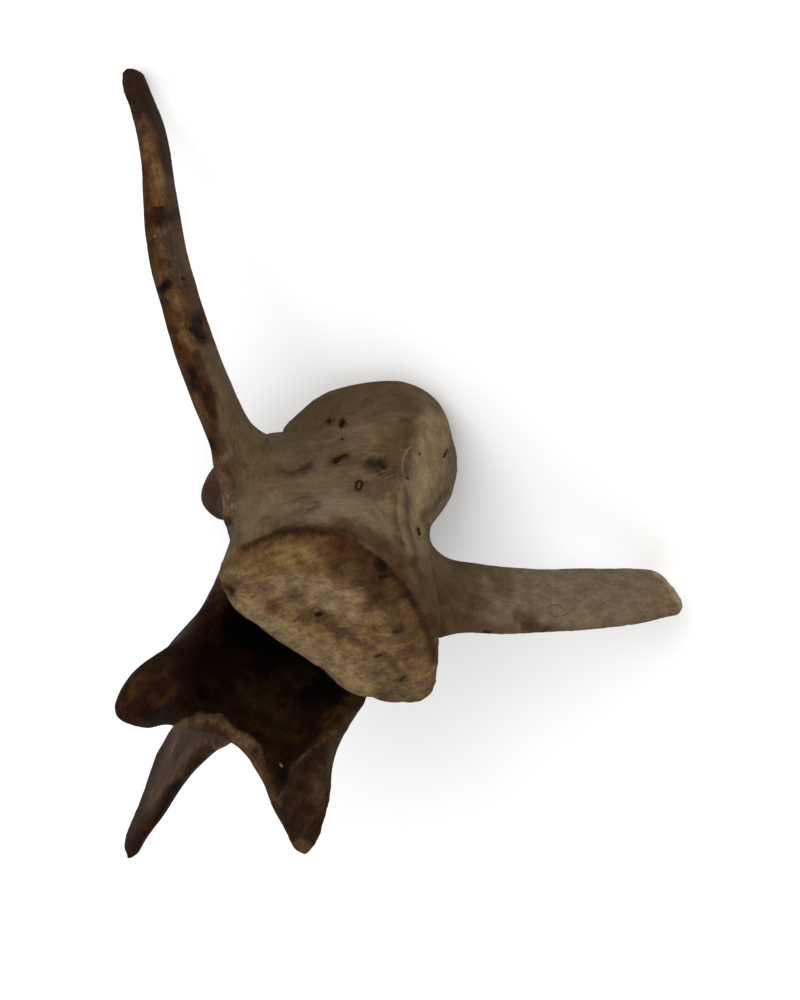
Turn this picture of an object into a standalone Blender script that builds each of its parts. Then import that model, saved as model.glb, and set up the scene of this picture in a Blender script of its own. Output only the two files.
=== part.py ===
"""A deer's lumbar vertebra, resting on its front end, as one closed solid.

The bone is modelled in millimetres in the animal's own axes: X to its right, Y towards its head and
Z towards its back, with Y = 0 on the rear face of the body and Z = 0 on the floor of the canal.
It is then laid down in its resting pose and scaled to metres, with +Z up and its origin on the
ground under the middle of the bone.
"""
from math import cos, pi, radians, sin

import bmesh
import bpy
from mathutils import Euler, Matrix, Vector

MM = 0.001

# Body: one row a station from the rear face to the front rim, with its place along the bone, middle,
# half width, top, level of the widest point, underside, pinch of the flanks to the keel, and roll.
BODY = (
    (0.0, 0.0, 12.6, 0.4, -4.6, -15.3, 0.06, -9.0),
    (1.8, 0.0, 13.4, 0.8, -4.4, -16.6, 0.08, -9.0),
    (4.5, 0.1, 12.2, 0.7, -5.0, -16.5, 0.12, -7.0),
    (9.0, 0.0, 10.9, 0.3, -5.0, -16.5, 0.26, -4.0),
    (14.0, 0.0, 9.8, 0.3, -4.6, -16.6, 0.36, -2.0),
    (20.0, 0.1, 9.2, 0.3, -4.4, -17.5, 0.40, -1.0),
    (26.0, 0.1, 9.1, 0.2, -4.4, -18.4, 0.36, -1.0),
    (30.5, 0.3, 9.6, 0.0, -4.6, -18.8, 0.22, -5.0),
    (33.4, 0.4, 10.0, -0.3, -4.8, -18.4, 0.06, -7.5),
    (34.6, 0.4, 9.5, -0.9, -5.0, -17.6, 0.02, -7.5),
)
BODY_SIDE_POWER = 0.83
BODY_TOP_POWER = 0.5
PINCH_POWER = 1.6
# The hollow of the rear face and the dome of the front one: place along the bone and share of the rim's
# size, down to a small ring in the middle, which has its own height.
REAR_DISH = ((-0.3, 0.80), (0.0, 0.46), (0.2, 0.05))
REAR_MIDDLE = -7.0
FRONT_DOME = ((35.8, 0.83), (37.1, 0.50), (37.8, 0.05))
FRONT_MIDDLE = -8.0

# Lips at the upper corners of the rear face: middles, and half sizes.
REAR_LIPS = ((-11.9, 1.8, -2.8), (11.0, 1.8, -4.8))
REAR_LIP_HALF = (2.9, 1.8, 2.9)

# Keel along the underside: place along the bone, level of its edge, half thickness.
KEEL = (
    (5.0, -15.6, 1.2),
    (10.0, -17.0, 1.3),
    (17.0, -17.6, 1.2),
    (24.0, -18.8, 1.3),
    (30.0, -19.2, 1.6),
    (33.4, -17.8, 2.0),
)
KEEL_ROOT = -10.0

# Arch over the canal: place along the bone, middle, half width at the foot and under the roof, height
# of the roof, and how far the sides run back behind the middle.
ARCH = (
    (3.4, 1.1, 10.6, 11.4, 18.0, 5.8),
    (6.0, 1.0, 10.6, 11.0, 18.2, 3.6),
    (12.0, 0.4, 11.0, 10.4, 18.2, 0.8),
    (19.0, 0.0, 11.0, 9.8, 17.6, 0.0),
    (26.0, 0.0, 10.8, 9.2, 16.6, 0.0),
    (32.0, 0.0, 10.6, 8.4, 15.4, 0.0),
    (34.0, 0.0, 10.2, 7.8, 14.6, 0.0),
)
ARCH_FOOT = -4.0
ARCH_RISE_POWER = 0.7
ARCH_ACROSS_POWER = 0.6

# Canal: place along the bone, middle, half width, roof.
CANAL = (
    (-12.0, 1.3, 9.8, 16.6),
    (0.0, 1.2, 8.9, 15.6),
    (8.0, 0.8, 8.4, 14.8),
    (18.0, 0.2, 8.0, 13.4),
    (28.0, 0.0, 7.6, 12.4),
    (36.0, 0.0, 8.0, 12.8),
    (46.0, 0.0, 9.2, 13.6),
)
CANAL_FLOOR = 0.0
CANAL_RISE_POWER = 0.8
CANAL_ACROSS_POWER = 0.7

# Notches for the nerves, as ellipses in the side view: middle along and up, half length, half height.
REAR_NOTCH = (-1.0, 4.0, 10.0, 5.2)
FRONT_NOTCH = (37.5, 5.0, 4.6, 4.8)
NOTCH_REACH = 40.0

# Side processes: x, y, z, half width and half thickness of the blade at each station.
RIGHT_BLADE = (
    (4.0, 18.0, -5.0, 13.0, 9.0),
    (9.0, 17.9, -5.4, 11.7, 6.6),
    (12.0, 18.1, -6.0, 9.7, 4.8),
    (14.8, 18.0, -7.4, 6.9, 3.3),
    (18.0, 18.1, -9.4, 5.4, 2.3),
    (23.0, 19.1, -13.0, 5.1, 1.9),
    (31.0, 22.3, -19.0, 5.0, 1.6),
    (37.0, 26.8, -24.2, 4.7, 1.5),
    (42.0, 32.3, -29.1, 3.6, 1.3),
    (45.5, 36.7, -30.9, 2.8, 1.2),
    (47.9, 39.9, -31.7, 2.0, 1.1),
)
LEFT_BLADE = (
    (-6.0, 17.2, -4.0, 8.4, 6.0),
    (-11.5, 17.9, -4.8, 6.9, 4.0),
    (-14.5, 18.7, -5.5, 5.8, 2.8),
    (-18.0, 19.6, -6.5, 5.6, 2.2),
    (-23.0, 21.4, -8.7, 5.6, 1.8),
    (-30.0, 24.0, -12.0, 5.5, 1.6),
    (-36.0, 27.6, -14.0, 4.5, 1.5),
    (-44.0, 31.2, -15.6, 4.3, 1.5),
)
BLADE_POWER = 0.85
# The break at the end of the left blade: a point on it, the way that it faces and the block that cuts it.
BREAK_POINT = (-38.3, 27.6, -14.6)
BREAK_FACING = (-0.86, 0.50, -0.12)
BREAK_BLOCK = 30.0

# Spinous process: height, rear border, front border, half thickness.
SPINE = (
    (13.5, 4.6, 31.0, 2.8),
    (18.0, 5.4, 30.6, 2.3),
    (24.0, 9.9, 30.6, 1.6),
    (31.0, 12.5, 31.6, 1.3),
    (38.0, 12.6, 34.2, 1.1),
    (43.0, 11.8, 36.2, 1.0),
    (45.8, 11.4, 33.0, 1.0),
    (47.2, 11.8, 26.0, 1.0),
    (48.0, 13.6, 20.0, 0.8),
)
SPINE_POWER = 0.7

# Joint processes, as upright wedges: place along the bone, x and z of the lower edge, x and z of the
# upper edge, and half thickness.
RIGHT_REAR_PRONG = (
    (16.0, 9.0, 7.0, 9.0, 16.6, 1.6),
    (9.0, 9.3, 6.4, 10.2, 17.4, 1.8),
    (4.0, 10.2, 7.0, 10.4, 18.9, 2.1),
    (0.5, 11.9, 8.2, 11.4, 18.9, 2.7),
    (-1.8, 12.9, 9.6, 12.0, 18.3, 2.8),
    (-3.4, 13.3, 11.8, 12.5, 17.7, 2.4),
    (-4.8, 13.5, 14.0, 13.1, 17.0, 1.8),
)
LEFT_REAR_PRONG = (
    (16.0, -9.0, 7.0, -8.6, 16.8, 1.6),
    (9.0, -8.6, 6.4, -8.6, 17.8, 2.0),
    (4.0, -7.8, 6.8, -8.4, 18.8, 2.6),
    (0.5, -8.0, 9.4, -8.9, 19.4, 2.8),
    (-2.6, -9.8, 13.0, -10.2, 20.0, 2.6),
    (-4.8, -11.4, 16.4, -11.4, 20.6, 1.8),
    (-5.8, -12.0, 18.4, -12.0, 20.6, 1.0),
)
RIGHT_FRONT_PRONG = (
    (22.0, 9.0, 1.6, 8.4, 6.4, 1.5),
    (30.0, 11.2, 2.0, 10.4, 8.0, 2.4),
    (34.0, 12.4, 3.6, 11.5, 10.6, 3.1),
    (37.6, 12.4, 5.2, 11.4, 12.8, 3.0),
    (40.2, 12.2, 7.2, 11.6, 13.2, 2.4),
    (41.2, 12.1, 8.8, 11.8, 12.2, 1.6),
)
LEFT_FRONT_PRONG = (
    (22.0, -8.8, 3.4, -8.2, 8.4, 1.5),
    (30.0, -11.0, 4.2, -10.2, 10.4, 2.4),
    (34.0, -12.2, 5.8, -11.3, 13.0, 3.1),
    (37.6, -12.2, 7.6, -11.2, 15.4, 3.0),
    (40.2, -12.0, 9.6, -11.4, 15.4, 2.4),
    (41.2, -11.9, 11.2, -11.6, 14.4, 1.6),
)
PRONG_POWER = 0.75

# The bone rests on its front end, leaning by these angles in degrees.
REST_LEAN = (-78.5, -7.9, 0.0)

# Fineness: points around a ring, rings from one station to the next, size of the skin's cells, rounds
# of softening, and triangles in the whole bone.
AROUND = 36
STEPS = 4
SKIN_CELL = 0.75
SOFT_ROUNDS = 3
TRIANGLES = 10500

BONE_COLOUR = (0.26, 0.20, 0.13, 1.0)
BONE_ROUGHNESS = 0.62


def signed_power(value, power):
    """Keep the sign of a sine or cosine while its size is raised to a power."""
    return (abs(value) ** power) * (1.0 if value >= 0.0 else -1.0)


def run_through(stations):
    """Fill in rows between the stations along a smooth curve through them."""
    rows = []
    last = len(stations) - 1
    for index in range(last):
        before = stations[max(index - 1, 0)]
        start = stations[index]
        end = stations[index + 1]
        after = stations[min(index + 2, last)]
        for step in range(STEPS):
            t = step / STEPS
            row = []
            for a, b, c, d in zip(before, start, end, after):
                slope_in = (c - a) / 2.0
                slope_out = (d - b) / 2.0
                row.append(
                    b * (2 * t**3 - 3 * t**2 + 1)
                    + c * (3 * t**2 - 2 * t**3)
                    + slope_in * (t**3 - 2 * t**2 + t)
                    + slope_out * (t**3 - t**2)
                )
            rows.append(row)
    rows.append(list(stations[-1]))
    return rows


def solid_from_rings(name, rings):
    """Skin a row of point rings and close both ends."""
    mesh = bmesh.new()
    loops = [[mesh.verts.new(point) for point in ring] for ring in rings]
    count = len(loops[0])
    for one, two in zip(loops, loops[1:]):
        for index in range(count):
            following = (index + 1) % count
            mesh.faces.new((one[index], one[following], two[following], two[index]))
    for loop in (loops[0], loops[-1]):
        middle = sum((vert.co for vert in loop), Vector()) / count
        pole = mesh.verts.new(middle)
        for index in range(count):
            mesh.faces.new((loop[index], loop[(index + 1) % count], pole))
    bmesh.ops.recalc_face_normals(mesh, faces=mesh.faces)
    data = bpy.data.meshes.new(name)
    mesh.to_mesh(data)
    mesh.free()
    piece = bpy.data.objects.new(name, data)
    bpy.context.scene.collection.objects.link(piece)
    return piece


def blade_rings(stations):
    """Rings of a flat side process whose width lies along the bone."""
    rows = run_through(stations)
    rings = []
    for index, (x, y, z, half_width, half_thickness) in enumerate(rows):
        ahead = rows[min(index + 1, len(rows) - 1)]
        behind = rows[max(index - 1, 0)]
        along = (Vector(ahead[:3]) - Vector(behind[:3])).normalized()
        wide = Vector((0.0, 1.0, 0.0)) - along * along.y
        wide.normalize()
        thin = along.cross(wide)
        ring = []
        for step in range(AROUND):
            angle = 2.0 * pi * step / AROUND
            out = wide * half_width * signed_power(cos(angle), BLADE_POWER)
            up = thin * half_thickness * signed_power(sin(angle), BLADE_POWER)
            ring.append(Vector((x, y, z)) + out + up)
        rings.append(ring)
    return rings


def prong_rings(stations):
    """Upright rings of a joint process, each between its lower and its upper edge."""
    rings = []
    for y, low_x, low_z, high_x, high_z, half_thickness in run_through(stations):
        low = Vector((low_x, y, low_z))
        high = Vector((high_x, y, high_z))
        middle = (low + high) / 2.0
        tall = (high - low) / 2.0
        thin = Vector((0.0, 1.0, 0.0)).cross(tall).normalized()
        ring = []
        for step in range(AROUND):
            angle = 2.0 * pi * step / AROUND
            up = tall * signed_power(cos(angle), PRONG_POWER)
            side = thin * half_thickness * signed_power(sin(angle), PRONG_POWER)
            ring.append(middle + up + side)
        rings.append(ring)
    return rings


def body_ring(y, middle, half, top, widest, base, pinch, roll):
    """One outline across the body: flat above, rounded below, drawn in towards the keel."""
    centre = Vector((middle, y, (top + base) / 2.0))
    turn = Matrix.Rotation(radians(-roll), 3, "Y")
    ring = []
    for step in range(AROUND):
        angle = 2.0 * pi * step / AROUND
        side = half * signed_power(cos(angle), BODY_SIDE_POWER)
        rise = sin(angle)
        if rise >= 0.0:
            z = widest + (top - widest) * rise**BODY_TOP_POWER
        else:
            z = widest - (widest - base) * (-rise) ** BODY_SIDE_POWER
            side *= 1.0 - pinch * (-rise) ** PINCH_POWER
        ring.append(centre + turn @ (Vector((middle + side, y, z)) - centre))
    return ring


def end_rings(rim, steps, middle):
    """Rings that close an end of the body, from its rim to a small ring in the middle."""
    outline = body_ring(*rim)
    centre_x = rim[1]
    rings = []
    for y, share in steps:
        ring = []
        for point in outline:
            x = centre_x + (point.x - centre_x) * share
            ring.append(Vector((x, y, middle + (point.z - middle) * share)))
        rings.append(ring)
    return rings


def make_body():
    rings = [body_ring(*row) for row in run_through(BODY)]
    dish = end_rings(BODY[0], REAR_DISH, REAR_MIDDLE)
    dome = end_rings(BODY[-1], FRONT_DOME, FRONT_MIDDLE)
    return solid_from_rings("body", dish[::-1] + rings + dome)


def make_keel():
    rings = []
    for y, edge, half in run_through(KEEL):
        middle = (KEEL_ROOT + edge) / 2.0
        reach = (KEEL_ROOT - edge) / 2.0
        ring = []
        for step in range(AROUND):
            angle = 2.0 * pi * step / AROUND
            ring.append((half * sin(angle), y, middle + reach * cos(angle)))
        rings.append(ring)
    return solid_from_rings("keel", rings)


def make_arch():
    rings = []
    for y, middle, foot, eaves, roof, sweep in run_through(ARCH):
        ring = []
        for step in range(AROUND):
            angle = 2.0 * pi * step / AROUND
            level = (signed_power(sin(angle), ARCH_RISE_POWER) + 1.0) / 2.0
            half = foot + (eaves - foot) * level
            across = signed_power(cos(angle), ARCH_ACROSS_POWER)
            z = ARCH_FOOT + (roof - ARCH_FOOT) * level
            ring.append((middle + half * across, y - sweep * abs(across), z))
        rings.append(ring)
    return solid_from_rings("arch", rings)


def make_canal():
    rings = []
    for y, middle, half, roof in run_through(CANAL):
        ring = []
        for step in range(AROUND):
            angle = 2.0 * pi * step / AROUND
            level = (signed_power(sin(angle), CANAL_RISE_POWER) + 1.0) / 2.0
            across = middle + half * signed_power(cos(angle), CANAL_ACROSS_POWER)
            ring.append((across, y, CANAL_FLOOR + (roof - CANAL_FLOOR) * level))
        rings.append(ring)
    return solid_from_rings("canal", rings)


def make_notch(name, notch):
    along, up, half_length, half_height = notch
    rings = []
    for x in (-NOTCH_REACH, NOTCH_REACH):
        ring = []
        for step in range(AROUND):
            angle = 2.0 * pi * step / AROUND
            ring.append((x, along + half_length * cos(angle), up + half_height * sin(angle)))
        rings.append(ring)
    return solid_from_rings(name, rings)


def make_break():
    """A block whose face is the break at the end of the left blade."""
    facing = Vector(BREAK_FACING).normalized()
    bpy.ops.mesh.primitive_cube_add(size=BREAK_BLOCK)
    block = bpy.context.object
    block.name = "break"
    turn = facing.to_track_quat("Z", "Y").to_matrix().to_4x4()
    middle = Vector(BREAK_POINT) + facing * (BREAK_BLOCK / 2.0)
    block.data.transform(Matrix.Translation(middle) @ turn)
    return block


def make_spine():
    rings = []
    for height, rear, front, half in run_through(SPINE):
        middle = (rear + front) / 2.0
        reach = (front - rear) / 2.0
        ring = []
        for step in range(AROUND):
            angle = 2.0 * pi * step / AROUND
            x = half * signed_power(sin(angle), SPINE_POWER)
            y = middle + reach * signed_power(cos(angle), SPINE_POWER)
            ring.append((x, y, height))
        rings.append(ring)
    return solid_from_rings("spine", rings)


def make_lip(middle):
    bpy.ops.mesh.primitive_uv_sphere_add(segments=24, ring_count=16, radius=1.0)
    lip = bpy.context.object
    lip.name = "lip"
    lip.data.transform(Matrix.Translation(middle) @ Matrix.Diagonal((*REAR_LIP_HALF, 1.0)))
    return lip


def apply_modifiers(piece):
    """Turn what the modifiers make into the piece's own mesh."""
    depsgraph = bpy.context.evaluated_depsgraph_get()
    made = bpy.data.meshes.new_from_object(piece.evaluated_get(depsgraph))
    piece.modifiers.clear()
    piece.data = made


def cut(piece, cutter):
    """Cut one closed solid out of another, and drop the cutter."""
    boolean = piece.modifiers.new("cut", "BOOLEAN")
    boolean.operation = "DIFFERENCE"
    boolean.object = cutter
    apply_modifiers(piece)
    bpy.data.objects.remove(cutter)


def join_all(piece, others):
    """Union every other solid into the first, and drop the others."""
    group = bpy.data.collections.new("joined")
    for other in others:
        group.objects.link(other)
    boolean = piece.modifiers.new("join", "BOOLEAN")
    boolean.operation = "UNION"
    boolean.operand_type = "COLLECTION"
    boolean.collection = group
    apply_modifiers(piece)
    for other in others:
        bpy.data.objects.remove(other)
    bpy.data.collections.remove(group)


def keep_largest(piece):
    """Keep the closed surface with the most faces."""
    mesh = bmesh.new()
    mesh.from_mesh(piece.data)
    unseen = set(mesh.verts)
    islands = []
    while unseen:
        stack = [unseen.pop()]
        island = set(stack)
        while stack:
            for edge in stack.pop().link_edges:
                for vert in edge.verts:
                    if vert in unseen:
                        unseen.discard(vert)
                        island.add(vert)
                        stack.append(vert)
        islands.append(island)
    islands.sort(key=len)
    loose = [vert for island in islands[:-1] for vert in island]
    bmesh.ops.delete(mesh, geom=loose, context="VERTS")
    mesh.to_mesh(piece.data)
    mesh.free()


def fuse_surface(piece):
    """Melt the joined pieces into one even skin, soften it and thin it out."""
    remesh = piece.modifiers.new("skin", "REMESH")
    remesh.mode = "VOXEL"
    remesh.voxel_size = SKIN_CELL
    smooth = piece.modifiers.new("soften", "CORRECTIVE_SMOOTH")
    smooth.use_only_smooth = True
    smooth.iterations = SOFT_ROUNDS
    apply_modifiers(piece)
    keep_largest(piece)
    count = sum(len(face.vertices) - 2 for face in piece.data.polygons)
    decimate = piece.modifiers.new("thin", "DECIMATE")
    decimate.ratio = TRIANGLES / count
    decimate.use_collapse_triangulate = True
    apply_modifiers(piece)


def rest_matrix():
    """Turn from the animal's axes to the resting pose."""
    return Euler([radians(angle) for angle in REST_LEAN]).to_matrix().to_4x4()


def lay_down(piece):
    """Rest the bone on the ground, with the origin under its middle, in metres."""
    piece.data.transform(rest_matrix())
    corners = [vert.co for vert in piece.data.vertices]
    low = [min(point[axis] for point in corners) for axis in range(3)]
    high = [max(point[axis] for point in corners) for axis in range(3)]
    shift = Vector((-(low[0] + high[0]) / 2.0, -(low[1] + high[1]) / 2.0, -low[2]))
    piece.data.transform(Matrix.Scale(MM, 4) @ Matrix.Translation(shift))


def bone_material():
    material = bpy.data.materials.new("weathered bone")
    material.use_nodes = True
    shader = material.node_tree.nodes["Principled BSDF"]
    shader.inputs["Base Color"].default_value = BONE_COLOUR
    shader.inputs["Roughness"].default_value = BONE_ROUGHNESS
    shader.inputs["Metallic"].default_value = 0.0
    return material


def build():
    for item in list(bpy.data.objects):
        bpy.data.objects.remove(item)
    bone = make_body()
    bone.name = "vertebra"

    arch = make_arch()
    cut(arch, make_notch("rear notch", REAR_NOTCH))
    cut(arch, make_notch("front notch", FRONT_NOTCH))

    right = solid_from_rings("right blade", blade_rings(RIGHT_BLADE))
    left = solid_from_rings("left blade", blade_rings(LEFT_BLADE))
    cut(left, make_break())
    prongs = [
        solid_from_rings("prong", prong_rings(stations))
        for stations in (RIGHT_REAR_PRONG, LEFT_REAR_PRONG, RIGHT_FRONT_PRONG, LEFT_FRONT_PRONG)
    ]
    lips = [make_lip(middle) for middle in REAR_LIPS]
    join_all(bone, [make_keel(), arch, right, left, make_spine()] + prongs + lips)
    cut(bone, make_canal())
    fuse_surface(bone)

    lay_down(bone)
    bone.data.shade_smooth()
    bone.data.materials.clear()
    bone.data.materials.append(bone_material())


build()
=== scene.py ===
import math

import bpy
import numpy as np
from mathutils import Euler, Matrix, Vector
from mathutils.bvhtree import BVHTree


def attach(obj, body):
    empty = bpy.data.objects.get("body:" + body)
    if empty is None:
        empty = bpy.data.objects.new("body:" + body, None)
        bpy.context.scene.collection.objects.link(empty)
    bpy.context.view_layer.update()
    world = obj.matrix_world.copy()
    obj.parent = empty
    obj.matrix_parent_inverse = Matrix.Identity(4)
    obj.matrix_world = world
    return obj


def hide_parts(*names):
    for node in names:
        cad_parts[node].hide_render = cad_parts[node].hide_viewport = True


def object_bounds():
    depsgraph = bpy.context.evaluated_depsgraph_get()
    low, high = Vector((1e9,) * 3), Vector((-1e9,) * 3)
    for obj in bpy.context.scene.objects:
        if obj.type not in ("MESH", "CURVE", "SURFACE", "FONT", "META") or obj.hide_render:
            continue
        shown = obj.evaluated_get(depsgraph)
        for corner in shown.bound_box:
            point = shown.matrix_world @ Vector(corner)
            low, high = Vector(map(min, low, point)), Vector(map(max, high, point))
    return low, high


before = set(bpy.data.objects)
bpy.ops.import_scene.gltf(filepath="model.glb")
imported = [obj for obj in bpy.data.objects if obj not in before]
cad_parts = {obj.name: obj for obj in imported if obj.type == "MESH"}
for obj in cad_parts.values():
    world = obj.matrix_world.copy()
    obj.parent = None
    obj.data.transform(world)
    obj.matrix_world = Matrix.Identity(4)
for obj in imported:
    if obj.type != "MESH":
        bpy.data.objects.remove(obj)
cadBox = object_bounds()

print("frame loaded")
bpy.ops.object.select_all(action="DESELECT")

# The bone is shaped and painted in the animal's own axes, in millimetres: x to its right, y towards
# its head, z towards its back. restPose takes them to the ground that the bone lies on.
restPose = {"lean": (-78.5, -7.9, 0.0), "shift": (-9.474, -13.467, 39.269)}
millimetre = 0.001

restTurn = np.array(Euler([math.radians(angle) for angle in restPose["lean"]]).to_matrix())
restShift = np.array(restPose["shift"])

# The photograph's viewpoint, in the same axes. Places on the surface are given below in its pixels.
photoView = {
    "aim": (0.0, 18.0, -4.0),
    "aimPixel": (343.8, 547.5),
    "frame": (800, 1000),
    "distance": 350.0,
    "pixelsPerMm": 8.658,
    "toward": (0.181, -0.835, -0.520),
    "rightProcessAngle": 150.3,
    "sensor": 36.0,
    "clip": (0.01, 20.0),
}


def toGround(points):
    return (np.asarray(points, float) @ restTurn.T + restShift) * millimetre


def toBone(points):
    return (np.asarray(points, float) / millimetre - restShift) @ restTurn


def viewAxes():
    toward = np.array(photoView["toward"])
    toward /= np.linalg.norm(toward)
    across = np.array([1.0, 0.0, 0.0]) - toward * toward[0]
    across /= np.linalg.norm(across)
    upright = np.cross(toward, across)
    angle = math.radians(photoView["rightProcessAngle"])
    right = math.cos(angle) * across - math.sin(angle) * upright
    up = math.sin(angle) * across + math.cos(angle) * upright
    return np.stack([right, up, toward])


viewTurn = viewAxes()


def toPixels(points):
    seenFrom = (points - np.array(photoView["aim"])) @ viewTurn.T
    nearness = photoView["distance"] / (photoView["distance"] - seenFrom[:, 2])
    scale = photoView["pixelsPerMm"] * nearness
    x = photoView["aimPixel"][0] + scale * seenFrom[:, 0]
    y = photoView["aimPixel"][1] - scale * seenFrom[:, 1]
    return np.stack([x, y], axis=1)


def eyePlace():
    return np.array(photoView["aim"]) + photoView["distance"] * viewTurn[2]


def addCamera():
    width, height = photoView["frame"]
    camera = bpy.data.cameras.new("photoCamera")
    camera.sensor_width = photoView["sensor"]
    camera.lens = photoView["distance"] * photoView["pixelsPerMm"] / height * camera.sensor_width
    camera.shift_x = (width / 2 - photoView["aimPixel"][0]) / height
    camera.shift_y = (photoView["aimPixel"][1] - height / 2) / height
    camera.clip_start, camera.clip_end = photoView["clip"]
    holder = bpy.data.objects.new("photoCamera", camera)
    turn = Matrix((restTurn @ viewTurn.T).tolist()).to_4x4()
    holder.matrix_world = Matrix.Translation(toGround(eyePlace())) @ turn
    bpy.context.scene.collection.objects.link(holder)
    bpy.context.scene.camera = holder


addCamera()
print("camera set")

# Studio: a pale floor, an even pale sky and soft lamps. Each lamp's direction is seen in the photograph,
# as shares of its right, its up and the way towards the camera.
studio = {
    "floorSize": 3.0,
    "floorTone": (0.93, 0.93, 0.925, 1.0),
    "floorRoughness": 0.9,
    "floorGloss": 0.1,
    "skyTone": (1.0, 1.0, 1.0, 1.0),
    "skyStrength": 1.02,
    "lamps": {
        "keyLamp": {"from": (-0.35, 0.35, 0.9), "distance": 0.9, "size": 0.7, "watts": 5.5},
        "fillLamp": {"from": (0.6, -0.1, 0.7), "distance": 1.0, "size": 0.9, "watts": 1.5},
    },
}


def addStudio():
    bpy.ops.mesh.primitive_plane_add(size=studio["floorSize"])
    floor = bpy.context.object
    floor.name = "studioFloor"
    paper = bpy.data.materials.new("floorPaper")
    paper.use_nodes = True
    shader = paper.node_tree.nodes["Principled BSDF"]
    shader.inputs["Base Color"].default_value = studio["floorTone"]
    shader.inputs["Roughness"].default_value = studio["floorRoughness"]
    shader.inputs["Specular IOR Level"].default_value = studio["floorGloss"]
    floor.data.materials.append(paper)
    world = bpy.data.worlds.new("studioSky")
    world.use_nodes = True
    sky = world.node_tree.nodes["Background"]
    sky.inputs["Color"].default_value = studio["skyTone"]
    sky.inputs["Strength"].default_value = studio["skyStrength"]
    bpy.context.scene.world = world
    middle = Vector(toGround(photoView["aim"]))
    for name, lamp in studio["lamps"].items():
        light = bpy.data.lights.new(name, "AREA")
        light.shape = "DISK"
        light.size = lamp["size"]
        light.energy = lamp["watts"]
        holder = bpy.data.objects.new(name, light)
        way = Vector(restTurn @ viewTurn.T @ np.array(lamp["from"])).normalized()
        holder.location = middle + way * lamp["distance"]
        holder.rotation_euler = way.to_track_quat("Z", "Y").to_euler()
        bpy.context.scene.collection.objects.link(holder)


addStudio()
bpy.context.scene.view_settings.view_transform = "Standard"
print("studio set")

# Skin: the whole bone in one even mesh, made from a copy of the solid.
skinMesh = {
    "mergeWithin": 1e-6,
    "cell": 0.00064,
    "smoothRounds": 5,
    "smoothShare": 0.5,
    "swell": 0.14,  # mm, what the smoothing took away
    "fineRounds": 3,
    "insideBox": 0.00003,
}

# Noise on the skin: the size of its clouds in mm, its seed and its rounds of finer clouds.
clouds = {
    "waves": (6.0, 11, 2),
    "lumps": (2.2, 23, 2),
    "pitEdge": (0.5, 31, 1),
    "wobble": (2.4, 41, 3),
    "fine": (0.8, 57, 3),
    "blotch": (3.2, 71, 3),
}
scramble = {"x": 374761393, "y": 668265263, "z": 1274126177, "seed": 974711, "mix": 1103515245}


def applyAll(piece):
    bpy.context.view_layer.objects.active = piece
    piece.select_set(True)
    for modifier in list(piece.modifiers):
        bpy.ops.object.modifier_apply(modifier=modifier.name)
    piece.select_set(False)


def copySolid(node, name):
    bpy.ops.object.select_all(action="DESELECT")
    piece = bpy.data.objects.new(name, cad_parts[node].data.copy())
    bpy.context.scene.collection.objects.link(piece)
    bpy.context.view_layer.objects.active = piece
    piece.select_set(True)
    bpy.ops.object.mode_set(mode="EDIT")
    bpy.ops.mesh.select_all(action="SELECT")
    bpy.ops.mesh.remove_doubles(threshold=skinMesh["mergeWithin"])
    bpy.ops.object.mode_set(mode="OBJECT")
    piece.select_set(False)
    return piece


def addSoften(piece, rounds):
    soften = piece.modifiers.new("soften", "SMOOTH")
    soften.iterations = rounds
    soften.factor = skinMesh["smoothShare"]


def makeSkin():
    piece = copySolid("vertebra", "boneSkin")
    even = piece.modifiers.new("even", "REMESH")
    even.mode = "VOXEL"
    even.voxel_size = skinMesh["cell"]
    addSoften(piece, skinMesh["smoothRounds"])
    applyAll(piece)
    piece.data.materials.clear()
    return piece


skin = makeSkin()
print("skin made", len(skin.data.vertices), "points")


def readSkin():
    count = len(skin.data.vertices)
    places = np.empty(count * 3)
    normals = np.empty(count * 3)
    skin.data.vertices.foreach_get("co", places)
    skin.data.vertex_normals.foreach_get("vector", normals)
    return toBone(places.reshape(-1, 3)), normals.reshape(-1, 3) @ restTurn


def writeSkin(places):
    ground = toGround(places)
    low = np.array(cadBox[0]) + skinMesh["insideBox"]
    high = np.array(cadBox[1]) - skinMesh["insideBox"]
    skin.data.vertices.foreach_set("co", np.clip(ground, low, high).ravel())
    skin.data.update()


def smoothStep(value, low, high):
    share = np.clip((value - low) / (high - low), 0.0, 1.0)
    return share * share * (3.0 - 2.0 * share)


def latticeValue(cells, seed):
    number = cells[:, 0] * scramble["x"] + cells[:, 1] * scramble["y"] + cells[:, 2] * scramble["z"]
    number = number + seed * scramble["seed"]
    number = (number ^ (number >> 13)) * scramble["mix"]
    number = number ^ (number >> 16)
    return (number & 0xFFFF) / 0xFFFF


def softNoise(points, size, seed):
    scaled = points / size
    base = np.floor(scaled).astype(np.int64)
    part = scaled - base
    part = part * part * (3.0 - 2.0 * part)
    total = np.zeros(len(points))
    for corner in range(8):
        step = np.array([corner & 1, (corner >> 1) & 1, corner >> 2])
        share = np.prod(np.where(step == 1, part, 1.0 - part), axis=1)
        total += share * latticeValue(base + step, seed)
    return total


def cloudNoise(points, name):
    size, seed, rounds = clouds[name]
    total = np.zeros(len(points))
    weight = 0.0
    for step in range(rounds):
        total += softNoise(points, size / 2**step, seed + step) / 2**step
        weight += 1.0 / 2**step
    return total / weight


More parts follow.
